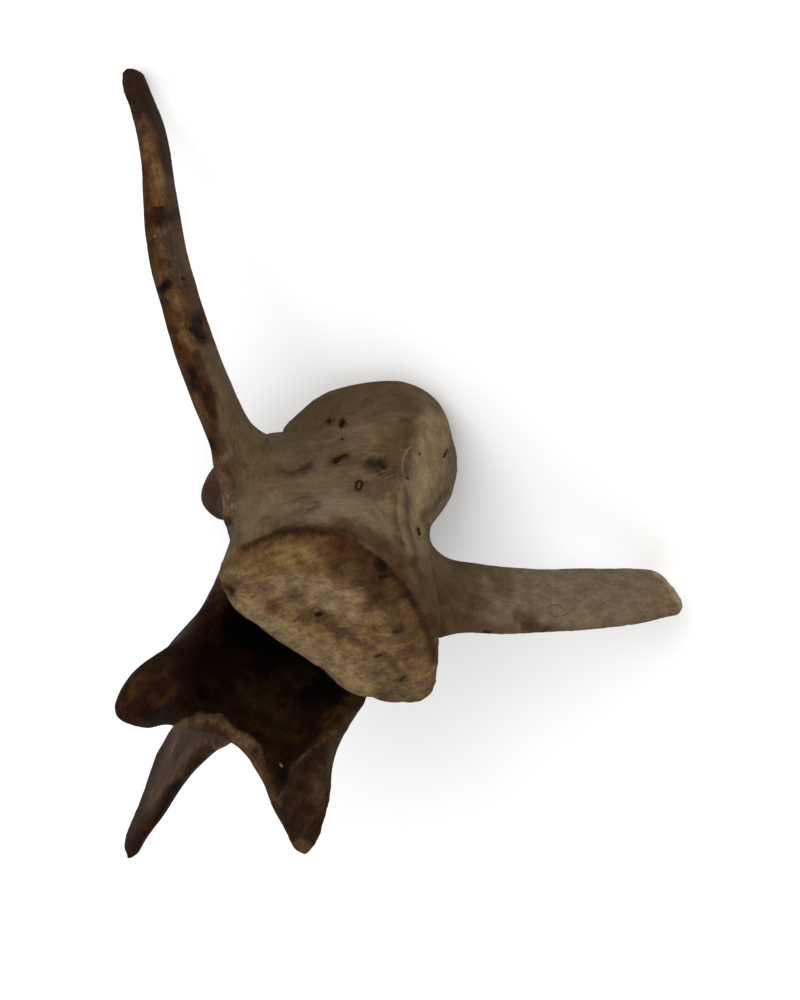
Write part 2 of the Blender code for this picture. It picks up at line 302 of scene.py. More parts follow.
# Outline: places on the edge of the bone as the photograph shows it, walked clockwise, in its pixels.
outline = {
    "sideTip": [(121, 86), (122, 76), (127, 69), (135, 66), (141, 70)],
    "sideFront": [(141, 70), (149, 86), (160, 112), (168, 136), (173, 168), (179, 209), (187, 253),
        (198, 291), (210, 328), (223, 364), (239, 401), (252, 424), (262, 434), (274, 436)],
    "frontLobe": [(301, 411), (313, 399), (334, 389), (359, 383), (396, 380), (415, 385), (431, 394),
        (443, 408), (450, 432), (456, 458), (457, 475), (451, 498), (440, 514), (430, 528)],
    "leftWaist": [(430, 528), (430, 541), (437, 552), (450, 559), (466, 562)],
    "leftFront": [(466, 562), (503, 567), (544, 569), (598, 568), (640, 568), (656, 571)],
    "leftBreak": [(656, 571), (667, 578), (676, 590), (682, 600), (687, 612)],
    "leftRear": [(680, 614), (665, 618), (639, 624), (599, 629), (558, 632), (504, 634), (463, 633)],
    "faceLip": [(437, 643), (438, 662), (434, 682), (426, 695), (412, 703), (398, 702), (380, 698)],
    "leftProngOuter": [(364, 707), (350, 723), (342, 740), (335, 757), (332, 778), (330, 800), (322, 830),
        (314, 847), (307, 856)],
    "leftProngInner": [(299, 854), (289, 842), (283, 826), (273, 809), (268, 796), (261, 780), (252, 763),
        (244, 752)],
    "archNotch": [(244, 752), (233, 746), (221, 748), (210, 757)],
    "spineRear": [(210, 757), (193, 773), (175, 798), (162, 820), (150, 833), (141, 848), (136, 857)],
    "spineTip": [(136, 857), (130, 860), (124, 853), (123, 842)],
    "spineTop": [(123, 842), (129, 827), (137, 808), (146, 783), (155, 757)],
    "rightProngEdge": [(156, 731), (145, 729), (131, 724), (116, 720)],
    "rightProngTip": [(116, 720), (114, 709), (118, 694)],
    "rightProngOuter": [(118, 694), (125, 680), (143, 662), (164, 649), (183, 629), (201, 609), (213, 585),
        (223, 562), (230, 540)],
    "frontProng": [(226, 523), (217, 520), (208, 513), (201, 501), (202, 488), (207, 476), (213, 466)],
    "sideRear": [(208, 441), (193, 405), (175, 356), (161, 306), (150, 268), (145, 232), (143, 201),
        (141, 160), (137, 134), (129, 105), (121, 86)],
}
outlineFit = {"rounds": 3, "spacing": 9.0, "strip": 3.5, "search": 11.0, "spread": 1.5, "mostPixels": 9.0}


def outlineSamples():
    samples = []
    for path in outline.values():
        for start, end in zip(path, path[1:]):
            start, end = np.array(start, float), np.array(end, float)
            run = end - start
            length = np.linalg.norm(run)
            along = run / length
            outward = np.array([along[1], -along[0]])
            steps = max(1, round(length / outlineFit["spacing"]))
            for step in range(steps):
                samples.append((start + run * (step + 0.5) / steps, along, outward))
    return samples


def fitOutline(places):
    fit = outlineFit
    samples = outlineSamples()
    for turn in range(fit["rounds"]):
        pixels = toPixels(places)
        anchors, moves = [], []
        for middle, along, outward in samples:
            offset = pixels - middle
            near = np.flatnonzero(np.abs(offset @ along) < fit["strip"])
            out = offset[near] @ outward
            inside = np.abs(out) < fit["search"]
            if not inside.any():
                continue
            near, out = near[inside], out[inside]
            edge = np.argmax(out)
            push = float(np.clip(-out[edge], -fit["mostPixels"], fit["mostPixels"]))
            step = push * outward / photoView["pixelsPerMm"]
            anchors.append(places[near[edge]])
            moves.append(step[0] * viewTurn[0] - step[1] * viewTurn[1])
        total = np.zeros_like(places)
        weight = np.zeros(len(places))
        for anchor, move in zip(anchors, moves):
            away = np.sum((places - anchor) ** 2, axis=1)
            share = np.exp(-away / (2.0 * fit["spread"] ** 2))
            total += share[:, None] * move
            weight += share
        places = places + total / np.maximum(weight, 1.0)[:, None]
        print("outline round", turn, "mean push", round(float(np.mean(np.linalg.norm(moves, axis=1))), 3))
    return places


places, normals = readSkin()
places = fitOutline(places + normals * skinMesh["swell"])
writeSkin(places)

# Forms: broad swellings and hollows on the side that the photograph shows, as strokes in its pixels.
# Each form: lift in mm, width and soft edge in pixels, path.
forms = {
    "creaseFill": (0.75, 8, 24, [(243, 512), (275, 505), (320, 508), (365, 522)]),
    "flankFill": (0.55, 30, 40, [(262, 470), (310, 462), (350, 468)]),
    "rootRidgeDown": (-0.55, 6, 22, [(236, 455), (238, 480), (240, 510)]),
    "rootRidgeEdge": (0.28, 2, 8, [(219, 462), (226, 492), (231, 519)]),
    "keelRidge": (0.55, 2, 12, [(404, 436), (398, 470), (399, 500), (404, 530), (412, 562)]),
    "keelValley": (-0.55, 4, 13, [(413, 474), (412, 500), (418, 522), (424, 545)]),
    "lobeSwell": (0.5, 14, 22, [(428, 428), (437, 455), (432, 486)]),
    "leftOfRidge": (-0.18, 4, 14, [(384, 466), (386, 500), (392, 525)]),
    "facePillow": (0.85, 36, 52, [(275, 575), (320, 600), (385, 650)]),
    "faceShoulder": (-0.35, 4, 14, [(236, 560), (276, 537), (330, 538), (380, 566), (414, 604), (428, 650)]),
    "rimGroove": (-0.22, 2, 9, [(232, 541), (256, 528), (290, 519), (334, 521), (366, 537), (394, 556)]),
    "faceLipSwell": (0.45, 12, 18, [(404, 672), (420, 684)]),
    "faceHollow": (-0.22, 6, 20, [(268, 612), (300, 618), (336, 640)]),
    "leftBladeGroove": (-0.12, 10, 22, [(450, 604), (520, 602), (600, 596), (655, 590)]),
    "leftBladeFront": (0.12, 2, 8, [(470, 572), (560, 578), (645, 576)]),
    "rightProngHollow": (-0.35, 12, 20, [(200, 655), (175, 680), (158, 704)]),
    "facetFold": (0.45, 2, 9, [(342, 726), (323, 739), (306, 752), (292, 766), (285, 785)]),
    "facetHollow": (-0.35, 8, 14, [(337, 752), (322, 778), (312, 812)]),
    "spineHollow": (-0.25, 8, 16, [(205, 735), (180, 768), (155, 806)]),
    "sideGroove": (-0.15, 2, 8, [(196, 345), (212, 385), (228, 425)]),
}

# Pits: small hollows in the surface. Each pit: depth in mm, width and soft edge in pixels, path.
pits = {
    "foramenOne": (0.45, 4, 3, [(328, 420), (331, 422)]),
    "foramenTwo": (0.6, 5, 3, [(341, 422), (343, 424)]),
    "slitOne": (0.45, 3, 3, [(334, 460), (340, 457), (346, 456)]),
    "ovalHole": (0.35, 5, 2.5, [(358, 488), (360, 483)]),
    "lobeSlit": (0.28, 2, 3, [(448, 450), (443, 458)]),
    "valleyForamen": (0.45, 3, 3, [(419, 529), (419, 536)]),
    "facePit": (0.4, 5, 4, [(316, 613), (322, 615)]),
    "faceDarkest": (0.3, 7, 5, [(381, 563), (384, 569)]),
    "faceSpot": (0.25, 4, 4, [(231, 588), (234, 591)]),
    "lowerPoreOne": (0.2, 3, 3, [(398, 655)]),
    "lowerPoreTwo": (0.2, 3, 3, [(409, 668)]),
    "lowerPoreFour": (0.2, 3, 3, [(398, 683)]),
    "archPitOne": (0.4, 5, 5, [(203, 690), (204, 695)]),
    "archPitTwo": (0.5, 9, 6, [(313, 690), (321, 695)]),
    "archPitThree": (0.4, 6, 5, [(279, 768), (284, 773)]),
    "sidePitOne": (0.25, 6, 5, [(164, 287), (168, 283)]),
    "sidePitThree": (0.22, 4, 4, [(196, 322), (201, 337)]),
    "sidePitFive": (0.3, 4, 4, [(211, 444)]),
}

# Relief: the heights and the clearance are in mm, the pits' margin and roughness in pixels.
relief = {
    "waves": 0.16,
    "lumps": 0.14,
    "facingSoft": 0.12,
    "clearance": 0.15,
    "pitMargin": 2,
    "pitLeast": 0.02,
    "pitRough": 1.2,
}


def pathDistance(pixels, path):
    path = np.array(path, float)
    if len(path) == 1:
        return np.linalg.norm(pixels - path[0], axis=1)
    nearest = np.full(len(pixels), np.inf)
    for start, end in zip(path, path[1:]):
        run = end - start
        share = np.clip((pixels - start) @ run / (run @ run), 0.0, 1.0)
        nearest = np.minimum(nearest, np.linalg.norm(pixels - start - share[:, None] * run, axis=1))
    return nearest


def nearPixels(pixels, path, reach):
    low, high = np.min(path, axis=0) - reach, np.max(path, axis=0) + reach
    return np.flatnonzero(np.all((pixels > low) & (pixels < high), axis=1))


def strokeShare(pixels, path, width, soft, rough=0.0, wobble=None):
    near = nearPixels(pixels, path, width / 2 + soft + rough)
    away = pathDistance(pixels[near], path) - width / 2
    if wobble is not None:
        away = away + (wobble[near] - 0.5) * 2.0 * rough
    share = np.zeros(len(pixels))
    share[near] = 1.0 - smoothStep(away, 0.0, soft)
    return share


def seenShare(places, normals):
    toEye = eyePlace() - places
    toEye /= np.linalg.norm(toEye, axis=1)[:, None]
    facing = np.sum(toEye * normals, axis=1)
    share = smoothStep(facing, 0.0, relief["facingSoft"])
    skin.data.calc_loop_triangles()
    tree = BVHTree.FromObject(skin, bpy.context.evaluated_depsgraph_get())
    eye = Vector(toGround(eyePlace()))
    starts = toGround(places + normals * relief["clearance"])
    for index in np.flatnonzero(share > 0.0):
        start = Vector(starts[index])
        if tree.ray_cast(start, (eye - start).normalized())[0] is not None:
            share[index] = 0.0
    return share


def skinView():
    places, normals = readSkin()
    return places, normals, toPixels(places), seenShare(places, normals)


def splitFaces(chosen):
    bpy.ops.object.select_all(action="DESELECT")
    bpy.context.view_layer.objects.active = skin
    skin.select_set(True)
    bpy.ops.object.mode_set(mode="EDIT")
    bpy.ops.mesh.select_mode(type="VERT")
    bpy.ops.mesh.select_all(action="DESELECT")
    bpy.ops.object.mode_set(mode="OBJECT")
    skin.data.vertices.foreach_set("select", chosen)
    bpy.ops.object.mode_set(mode="EDIT")
    bpy.ops.mesh.select_mode(type="EDGE")
    bpy.ops.mesh.select_mode(type="FACE")
    bpy.ops.mesh.subdivide(number_cuts=1, smoothness=0.0)
    bpy.ops.object.mode_set(mode="OBJECT")
    skin.select_set(False)


def softenSkin(rounds):
    addSoften(skin, rounds)
    applyAll(skin)


def liftForms():
    places, normals, pixels, seen = skinView()
    lift = np.zeros(len(places))
    for height, width, soft, path in forms.values():
        lift += strokeShare(pixels, path, width, soft) * height
    lift += (cloudNoise(places, "waves") - 0.5) * relief["waves"]
    bumps = (cloudNoise(places, "lumps") - 0.5) * relief["lumps"]
    writeSkin(places + normals * (lift * seen + bumps)[:, None])
    return seen


seen = liftForms()
splitFaces(seen > 0.0)
softenSkin(skinMesh["fineRounds"])
print("forms lifted", len(skin.data.vertices), "points")


def nearPits(pixels):
    share = np.zeros(len(pixels))
    for depth, width, soft, path in pits.values():
        share = np.maximum(share, strokeShare(pixels, path, width + relief["pitMargin"], soft))
    return share


def carvePits():
    places, normals, pixels, seen = skinView()
    splitFaces((nearPits(pixels) > relief["pitLeast"]) & (seen > 0.0))
    places, normals, pixels, seen = skinView()
    wobble = cloudNoise(places, "pitEdge")
    carved = np.zeros(len(places))
    for depth, width, soft, path in pits.values():
        carved = np.maximum(carved, strokeShare(pixels, path, width, soft, relief["pitRough"], wobble) * depth)
    writeSkin(places - normals * (carved * seen)[:, None])


carvePits()
print("pits carved", len(skin.data.vertices), "points")

# Paint: tones are what the photograph shows under its light, and toneShare takes them to the bone's own
# colour. Fields cover an area and stains follow a stroke. Both lie in the photograph's pixels.
tones = {
    "taupe": (0.105, 0.07, 0.036),
    "taupeLight": (0.165, 0.122, 0.072),
    "taupeDeep": (0.066, 0.041, 0.02),
    "rootTan": (0.14, 0.094, 0.046),
    "bladeTaupe": (0.15, 0.112, 0.068),
    "bladeBrown": (0.078, 0.048, 0.02),
    "paleTan": (0.25, 0.172, 0.088),
    "faceTan": (0.178, 0.108, 0.046),
    "faceBrown": (0.05, 0.023, 0.007),
    "facePlum": (0.066, 0.034, 0.02),
    "honey": (0.165, 0.105, 0.036),
    "rimRust": (0.028, 0.009, 0.002),
    "rimOchre": (0.088, 0.042, 0.013),
    "lobeTan": (0.205, 0.142, 0.074),
    "lobeShade": (0.06, 0.036, 0.014),
    # ridgeFibreAndHighlight: the pale fibres' own colour together with painted highlight on the keel ridge.
    "ridgeFibreAndHighlight": (0.27, 0.19, 0.104),
    "oldBrown": (0.046, 0.024, 0.009),
    "umber": (0.024, 0.01, 0.004),
    # blackStainAndShade: near-black, used for black stains and for painted shade in the canal.
    "blackStainAndShade": (0.003, 0.0014, 0.0007),
    "sideBrown": (0.066, 0.03, 0.01),
    "sideTan": (0.12, 0.057, 0.021),
    "sideBright": (0.175, 0.094, 0.042),
    "sideGrey": (0.072, 0.044, 0.024),
    "sideDark": (0.019, 0.008, 0.004),
    "sideRust": (0.05, 0.017, 0.004),
    "archBrown": (0.015, 0.0052, 0.0011),
    "archOlive": (0.024, 0.0125, 0.002),
    "archRed": (0.014, 0.0032, 0.001),
    "archOchre": (0.048, 0.02, 0.003),
    "prongTan": (0.029, 0.009, 0.003),
    "facetBrown": (0.026, 0.011, 0.004),
    "facetPale": (0.066, 0.038, 0.018),
    "rimPink": (0.082, 0.04, 0.017),
    "rimPale": (0.13, 0.072, 0.036),
    "spineBrown": (0.036, 0.014, 0.005),
    "spinePale": (0.08, 0.042, 0.018),
    "spineDark": (0.013, 0.0045, 0.002),
    "spineRed": (0.024, 0.0065, 0.0022),
    "pinkBoneAndHighlight": (0.165, 0.09, 0.044),
    "plum": (0.06, 0.026, 0.012),
    "cutBone": (0.31, 0.235, 0.14),
}
toneShare = 0.62

# Each field: tone, soft edge in pixels, corners.
fields = {
    "underside": {
        "bodyPale": ("rootTan", 30, [(352, 420), (404, 424), (404, 500), (392, 540), (330, 512), (356, 470)]),
        "rightRoot": ("taupe", 12, [(196, 340), (203, 362), (215, 389), (218, 410), (219, 430), (226, 456),
            (236, 470), (262, 452), (262, 430), (240, 385), (222, 345)]),
        "lobe": ("lobeTan", 14, [(418, 392), (440, 398), (466, 430), (466, 480), (430, 530), (414, 518),
            (410, 470), (412, 430)]),
        "sideBlade": ("sideBrown", 5, [(100, 50), (150, 50), (180, 170), (200, 262), (226, 344), (198, 346),
            (203, 364), (214, 390), (216, 410), (216, 430), (222, 454), (210, 468), (180, 440), (120, 250)]),
        "frontProng": ("plum", 3, [(216, 462), (192, 480), (192, 503), (212, 530), (231, 526), (224, 500)]),
        "leftBlade": ("bladeTaupe", 26, [(476, 540), (720, 540), (720, 640), (476, 640)]),
    },
    "rearFace": {
        "face": ("faceTan", 4, [(200, 620), (216, 582), (224, 562), (240, 545), (276, 530), (305, 527),
            (332, 531), (358, 542), (385, 561), (404, 582), (420, 606), (434, 634), (446, 664), (442, 694),
            (426, 712), (398, 716), (366, 712), (330, 692), (290, 662), (250, 640)]),
    },
    "arch": {
        "archInside": ("archBrown", 3, [(205, 575), (380, 600), (400, 680), (366, 700), (342, 727),
            (323, 740), (306, 753), (292, 767), (285, 787), (277, 797), (272, 784), (265, 763), (259, 745),
            (249, 735), (236, 730), (219, 714), (198, 715), (182, 721), (160, 734), (90, 740), (90, 650),
            (150, 610)]),
        "prongFacet": ("facetBrown", 4, [(372, 690), (342, 727), (323, 740), (306, 753), (292, 767),
            (286, 787), (280, 806), (290, 840), (302, 866), (322, 860), (340, 800), (344, 760), (360, 726),
            (384, 704)]),
        # rimBand: painted light, the edge of the arch's wall painted paler where its thickness is lit.
        "rimBand": ("rimPink", 3, [(160, 732), (182, 721), (198, 715), (219, 714), (236, 730), (249, 735),
            (259, 745), (265, 763), (272, 784), (280, 806), (274, 816), (262, 790), (250, 766), (243, 755),
            (232, 749), (220, 748), (206, 745), (180, 745)]),
        "spine": ("spineBrown", 4, [(156, 730), (182, 734), (200, 738), (214, 750), (198, 775), (178, 800),
            (156, 830), (142, 866), (112, 866), (116, 838), (146, 770)]),
    },
}

# Each stain: tone, width and soft edge in pixels, strength, raggedness in pixels, path.
stains = {
    "underside": {
        "topShade": ("taupeDeep", 22, 24, 0.7, 6, [(316, 410), (345, 396), (376, 386), (404, 392)]),
        "cornerShade": ("taupeDeep", 16, 20, 0.4, 5, [(300, 430), (318, 412)]),
        "lowerPale": ("taupeLight", 16, 20, 0.7, 4, [(250, 514), (290, 506), (340, 510), (376, 524)]),
        "leftPale": ("rootTan", 20, 24, 0.45, 6, [(262, 470), (292, 490)]),
        "midPale": ("taupeLight", 14, 18, 0.35, 5, [(330, 484), (350, 500), (380, 512)]),
        "ridgeTop": ("lobeShade", 4, 9, 0.5, 4, [(420, 392), (420, 410), (412, 428)]),
        "topBrown": ("oldBrown", 5, 10, 0.45, 5, [(404, 404), (416, 414), (420, 428)]),
        "fibreShade": ("oldBrown", 12, 15, 0.6, 7, [(388, 448), (402, 442), (410, 430)]),
        "fibreShadeLow": ("oldBrown", 8, 12, 0.5, 7, [(372, 490), (384, 484), (392, 470)]),
        "smudge": ("umber", 6, 9, 0.82, 7, [(371, 462), (381, 466)]),
        "smudgeHalo": ("oldBrown", 12, 12, 0.45, 8, [(366, 462), (384, 470), (398, 466)]),
        "ovalHalo": ("oldBrown", 14, 8, 0.35, 4, [(357, 486)]),
        "scribble": ("oldBrown", 3, 6, 0.55, 4, [(279, 471), (292, 474), (303, 470), (310, 465)]),
        "scribbleBlot": ("umber", 4, 5, 0.4, 3, [(303, 469), (309, 466)]),
        "scribbleLow": ("taupeDeep", 4, 6, 0.55, 4, [(297, 498), (308, 496)]),
        "diagonal": ("taupeDeep", 3, 7, 0.55, 3, [(262, 522), (300, 514), (317, 505)]),
        "slitHalo": ("oldBrown", 7, 7, 0.45, 4, [(334, 461), (346, 456)]),
        "streakOne": ("taupeDeep", 3, 8, 0.35, 4, [(282, 440), (320, 424)]),
        "streakTwo": ("taupeDeep", 3, 8, 0.35, 4, [(300, 456), (326, 446)]),
        "streakThree": ("taupeDeep", 4, 9, 0.3, 4, [(240, 452), (262, 446)]),
        "rootSmudge": ("oldBrown", 6, 8, 0.45, 5, [(230, 468), (242, 465)]),
        "rootSmudgeLow": ("taupeDeep", 6, 8, 0.4, 5, [(234, 482), (236, 490)]),
        "rimShadow": ("faceBrown", 4, 9, 0.8, 4, [(276, 531), (305, 527), (334, 531), (352, 538)]),
        "rimShadowRight": ("faceBrown", 7, 12, 0.75, 5, [(340, 524), (362, 533), (384, 548), (398, 570)]),
        "rimShadowLow": ("faceBrown", 4, 10, 0.6, 5, [(398, 570), (414, 596), (428, 622)]),
        # pinkRidge: the ridge's own pink colour together with a painted highlight along its edge.
        "pinkRidge": ("pinkBoneAndHighlight", 5, 5, 0.85, 1, [(218, 462), (225, 490), (231, 517)]),
        "pinkRidgeBrown": ("sideRust", 3, 5, 0.55, 3, [(212, 446), (219, 462), (229, 478), (232, 500)]),
        # Painted shade and highlight for the keel's relief: dark lines beside the ridge, and pale ridge and
        # valley lines that are partly the fibres' own pale colour and partly painted highlight.
        "ridgeDarkLeft": ("lobeShade", 3, 7, 0.6, 5, [(402, 476), (396, 496), (396, 520), (402, 545),
            (408, 562)]),
        "ridgePale": ("ridgeFibreAndHighlight", 3, 6, 0.4, 4, [(403, 480), (400, 500), (402, 526), (410, 552)]),
        "ridgeDarkRight": ("lobeShade", 3, 6, 0.5, 5, [(408, 490), (406, 512), (412, 536), (418, 560)]),
        "valleyPale": ("ridgeFibreAndHighlight", 6, 8, 0.6, 5, [(414, 484), (418, 502), (417, 524), (424, 548)]),
        "valleyDark": ("lobeShade", 2, 5, 0.6, 2, [(422, 512), (426, 524), (434, 538)]),
        "valleyLow": ("umber", 3, 5, 0.55, 3, [(414, 562), (420, 576), (424, 590)]),
        "lobeDarkEdge": ("lobeShade", 2, 5, 0.6, 3, [(446, 492), (434, 506), (424, 518)]),
        "lobeRight": ("lobeShade", 4, 7, 0.45, 4, [(455, 440), (452, 470), (446, 490)]),
        "lobeStreak": ("lobeShade", 2, 5, 0.35, 3, [(441, 478), (434, 494)]),
        "lobeUpperShade": ("taupe", 10, 14, 0.7, 4, [(416, 388), (436, 404)]),
        "lobeBright": ("paleTan", 10, 12, 0.55, 5, [(426, 424), (434, 448), (426, 478)]),
        "flankCool": ("taupe", 12, 14, 0.65, 4, [(434, 544), (436, 570), (446, 594)]),
        "flankFoot": ("oldBrown", 6, 9, 0.6, 4, [(430, 580), (436, 606), (438, 632)]),
        "bladeRoot": ("bladeBrown", 22, 22, 0.75, 9, [(444, 590), (466, 602), (450, 622)]),
        "bladeTopBrown": ("bladeBrown", 6, 10, 0.6, 5, [(460, 566), (480, 570), (502, 572)]),
        "bladeBlotOne": ("bladeBrown", 8, 10, 0.6, 6, [(500, 584), (508, 588)]),
        "bladeBlotTwo": ("bladeBrown", 8, 10, 0.6, 6, [(468, 598), (476, 602)]),
        "bladeBlotThree": ("oldBrown", 6, 8, 0.65, 5, [(518, 614), (528, 620)]),
        "bladeRust": ("sideTan", 5, 8, 0.55, 4, [(440, 628), (470, 628), (510, 630), (552, 629)]),
        "bladeFootRust": ("sideRust", 6, 8, 0.6, 4, [(434, 620), (440, 632)]),
        "bladeFootSpot": ("oldBrown", 4, 5, 0.6, 4, [(524, 626), (546, 630)]),
        "bladeEndTone": ("faceTan", 8, 14, 0.4, 4, [(636, 612), (664, 600), (660, 580)]),
        "cutFace": ("cutBone", 5, 4, 0.95, 1, [(657, 571), (668, 579), (679, 597), (688, 613)]),
        "frontProngLow": ("umber", 5, 5, 0.85, 2, [(204, 512), (218, 519), (228, 522)]),
        "frontProngRoot": ("sideRust", 4, 5, 0.6, 2, [(213, 468), (219, 494)]),
        "tipDark": ("sideDark", 18, 9, 0.92, 4, [(126, 74), (138, 90), (144, 108)]),
        "tipPlum": ("umber", 8, 8, 0.6, 4, [(128, 76), (134, 88)]),
        "tipFleck": ("sideGrey", 2, 4, 0.8, 2, [(144, 116), (146, 124)]),
        "upperDark": ("sideDark", 8, 7, 0.85, 4, [(156, 112), (165, 132), (168, 152), (171, 168)]),
        "upperTan": ("sideTan", 8, 7, 0.85, 3, [(147, 142), (152, 164), (158, 186), (161, 200)]),
        "upperBright": ("sideBright", 4, 6, 0.8, 2, [(156, 166), (160, 184)]),
        "upperRed": ("sideRust", 4, 5, 0.75, 2, [(143, 164), (145, 184), (146, 204), (148, 232)]),
        "bandDark": ("sideDark", 7, 6, 0.85, 4, [(158, 214), (160, 226)]),
        "bandDarkRight": ("sideDark", 6, 5, 0.85, 4, [(170, 217), (178, 213)]),
        "bandLeft": ("sideRust", 6, 6, 0.7, 4, [(150, 218), (154, 236), (152, 252)]),
        "greyBelow": ("sideGrey", 16, 8, 0.85, 5, [(166, 236), (172, 252), (180, 270)]),
        "greyRight": ("sideTan", 4, 6, 0.55, 3, [(182, 238), (190, 268)]),
        "blot": ("blackStainAndShade", 7, 5, 0.85, 3, [(163, 290), (167, 285)]),
        "blotDown": ("sideDark", 4, 5, 0.6, 3, [(164, 292), (166, 300)]),
        "midTan": ("sideTan", 8, 8, 0.55, 4, [(172, 296), (182, 304), (180, 322)]),
        "midBright": ("sideBright", 3, 6, 0.45, 3, [(176, 300), (182, 312)]),
        "midRust": ("sideRust", 5, 6, 0.65, 4, [(168, 308), (172, 326), (178, 342)]),
        "darkRight": ("sideDark", 7, 6, 0.85, 4, [(201, 313), (196, 326), (202, 338)]),
        "darkInner": ("blackStainAndShade", 4, 4, 0.7, 3, [(192, 330), (198, 334)]),
        "lowTan": ("sideBright", 4, 6, 0.6, 3, [(184, 334), (192, 346)]),
        "rustOne": ("sideRust", 6, 6, 0.8, 4, [(182, 352), (188, 358)]),
        "darkTwo": ("sideDark", 6, 6, 0.85, 4, [(190, 368), (196, 380)]),
        "darkThree": ("umber", 8, 8, 0.8, 5, [(198, 384), (208, 398), (208, 412)]),
        "rustThree": ("sideTan", 4, 6, 0.65, 3, [(196, 398), (204, 418), (210, 434)]),
        "rustLow": ("sideRust", 4, 5, 0.65, 3, [(214, 420), (216, 434), (222, 450)]),
        "spotLow": ("blackStainAndShade", 3, 4, 0.75, 2, [(209, 441), (212, 446)]),
    },
    "rearFace": {
        "yellow": ("honey", 14, 16, 0.8, 5, [(268, 562), (292, 556), (322, 562)]),
        "rimOuter": ("rimOchre", 8, 12, 0.8, 3, [(226, 562), (246, 549), (276, 538), (306, 535), (334, 541)]),
        "rimRed": ("rimRust", 5, 7, 0.85, 3, [(246, 545), (262, 537), (280, 531), (306, 529), (334, 533),
            (352, 541)]),
        "rimDeep": ("rimRust", 2, 5, 0.8, 2, [(276, 530), (306, 528), (336, 532), (360, 543), (378, 556)]),
        "brownRight": ("rimRust", 13, 13, 0.88, 7, [(344, 548), (364, 554), (380, 566)]),
        "brownHalo": ("faceBrown", 20, 22, 0.8, 9, [(340, 556), (366, 574), (388, 586)]),
        "darkest": ("blackStainAndShade", 6, 6, 0.8, 3, [(380, 564), (385, 572)]),
        "darkSecond": ("rimRust", 5, 6, 0.8, 4, [(380, 578), (386, 576)]),
        "faceRight": ("faceBrown", 16, 20, 0.55, 9, [(384, 590), (408, 610), (420, 640)]),
        "rightRim": ("rimRust", 4, 6, 0.75, 3, [(392, 574), (410, 594), (420, 612), (430, 636), (436, 660)]),
        "rightRimDark": ("blackStainAndShade", 3, 4, 0.5, 3, [(408, 590), (414, 606)]),
        "middlePale": ("paleTan", 14, 18, 0.7, 6, [(290, 588), (322, 596), (350, 606)]),
        "middleBright": ("paleTan", 5, 8, 0.6, 4, [(312, 596), (332, 600)]),
        "middleShade": ("faceBrown", 5, 9, 0.5, 5, [(274, 606), (286, 598), (304, 594)]),
        "pitHalo": ("faceBrown", 7, 10, 0.65, 4, [(304, 614), (318, 616), (330, 624)]),
        "lipPale": ("paleTan", 9, 9, 0.7, 3, [(238, 602), (264, 620), (300, 640), (336, 664), (362, 686)]),
        "plumOne": ("facePlum", 6, 5, 0.85, 3, [(338, 636), (341, 632)]),
        "plumTwo": ("facePlum", 5, 5, 0.8, 3, [(351, 634), (354, 636)]),
        "plumTrail": ("facePlum", 4, 5, 0.65, 4, [(352, 640), (364, 645), (374, 649)]),
        "plumThree": ("facePlum", 6, 5, 0.85, 3, [(397, 630), (402, 630)]),
        "plumFour": ("faceBrown", 5, 6, 0.6, 3, [(377, 596), (381, 598)]),
        "plumFive": ("faceBrown", 4, 6, 0.55, 3, [(364, 606), (370, 606)]),
        "plumSix": ("faceBrown", 4, 5, 0.55, 3, [(376, 628), (382, 627)]),
        "lowBrown": ("faceBrown", 4, 6, 0.7, 4, [(376, 657), (383, 655)]),
        "lowBrownTwo": ("facePlum", 5, 7, 0.65, 5, [(398, 656), (410, 654), (420, 652)]),
        "lowBrownThree": ("faceBrown", 4, 5, 0.7, 3, [(401, 679), (405, 677)]),
        "lowGrey": ("taupe", 16, 14, 0.6, 6, [(372, 668), (388, 676), (398, 690)]),
        "lowDarkSpeck": ("faceBrown", 3, 5, 0.45, 3, [(392, 664), (398, 670)]),
        "lipEdge": ("rimOchre", 5, 6, 0.6, 3, [(378, 698), (400, 706), (422, 702), (436, 690), (440, 668)]),
        "cornerSpot": ("umber", 4, 5, 0.75, 3, [(230, 588), (233, 592)]),
        "cornerBrown": ("rimRust", 4, 6, 0.7, 3, [(216, 594), (222, 586)]),
        "cornerPale": ("taupeLight", 6, 8, 0.45, 3, [(234, 574), (244, 584)]),
        "veinOne": ("rimOchre", 2, 4, 0.6, 2, [(246, 568), (262, 558), (280, 552)]),
        "veinTwo": ("faceBrown", 2, 4, 0.45, 2, [(240, 580), (262, 572)]),
    },
    "arch": {
        "pedicleOchre": ("archOchre", 6, 8, 0.7, 5, [(222, 588), (224, 606), (216, 636)]),
        "pedicleRed": ("archRed", 5, 7, 0.6, 5, [(210, 606), (204, 630), (196, 650)]),
        "pedicleEdge": ("prongTan", 4, 7, 0.5, 4, [(212, 592), (196, 614), (176, 636)]),
        # Painted shade: the deep part of the canal is painted near-black.
        "canal": ("blackStainAndShade", 30, 12, 1.0, 4, [(244, 626), (276, 638), (308, 656), (340, 684)]),
        "canalTongue": ("blackStainAndShade", 7, 9, 0.85, 4, [(262, 650), (266, 668)]),
        "canalLeft": ("blackStainAndShade", 8, 10, 0.7, 4, [(228, 606), (236, 640)]),
        "oliveOne": ("archOlive", 16, 14, 0.85, 8, [(248, 690), (262, 704), (280, 712)]),
        "oliveTwo": ("archOlive", 12, 12, 0.75, 8, [(280, 684), (300, 676)]),
        "oliveThree": ("archOlive", 8, 10, 0.6, 6, [(262, 722), (280, 734), (300, 730)]),
        "redLeft": ("archRed", 8, 8, 0.75, 5, [(224, 658), (232, 672), (222, 700)]),
        "redSpot": ("archRed", 5, 6, 0.7, 4, [(308, 710), (304, 724)]),
        "redMiddle": ("archRed", 5, 7, 0.55, 4, [(278, 742), (292, 748)]),
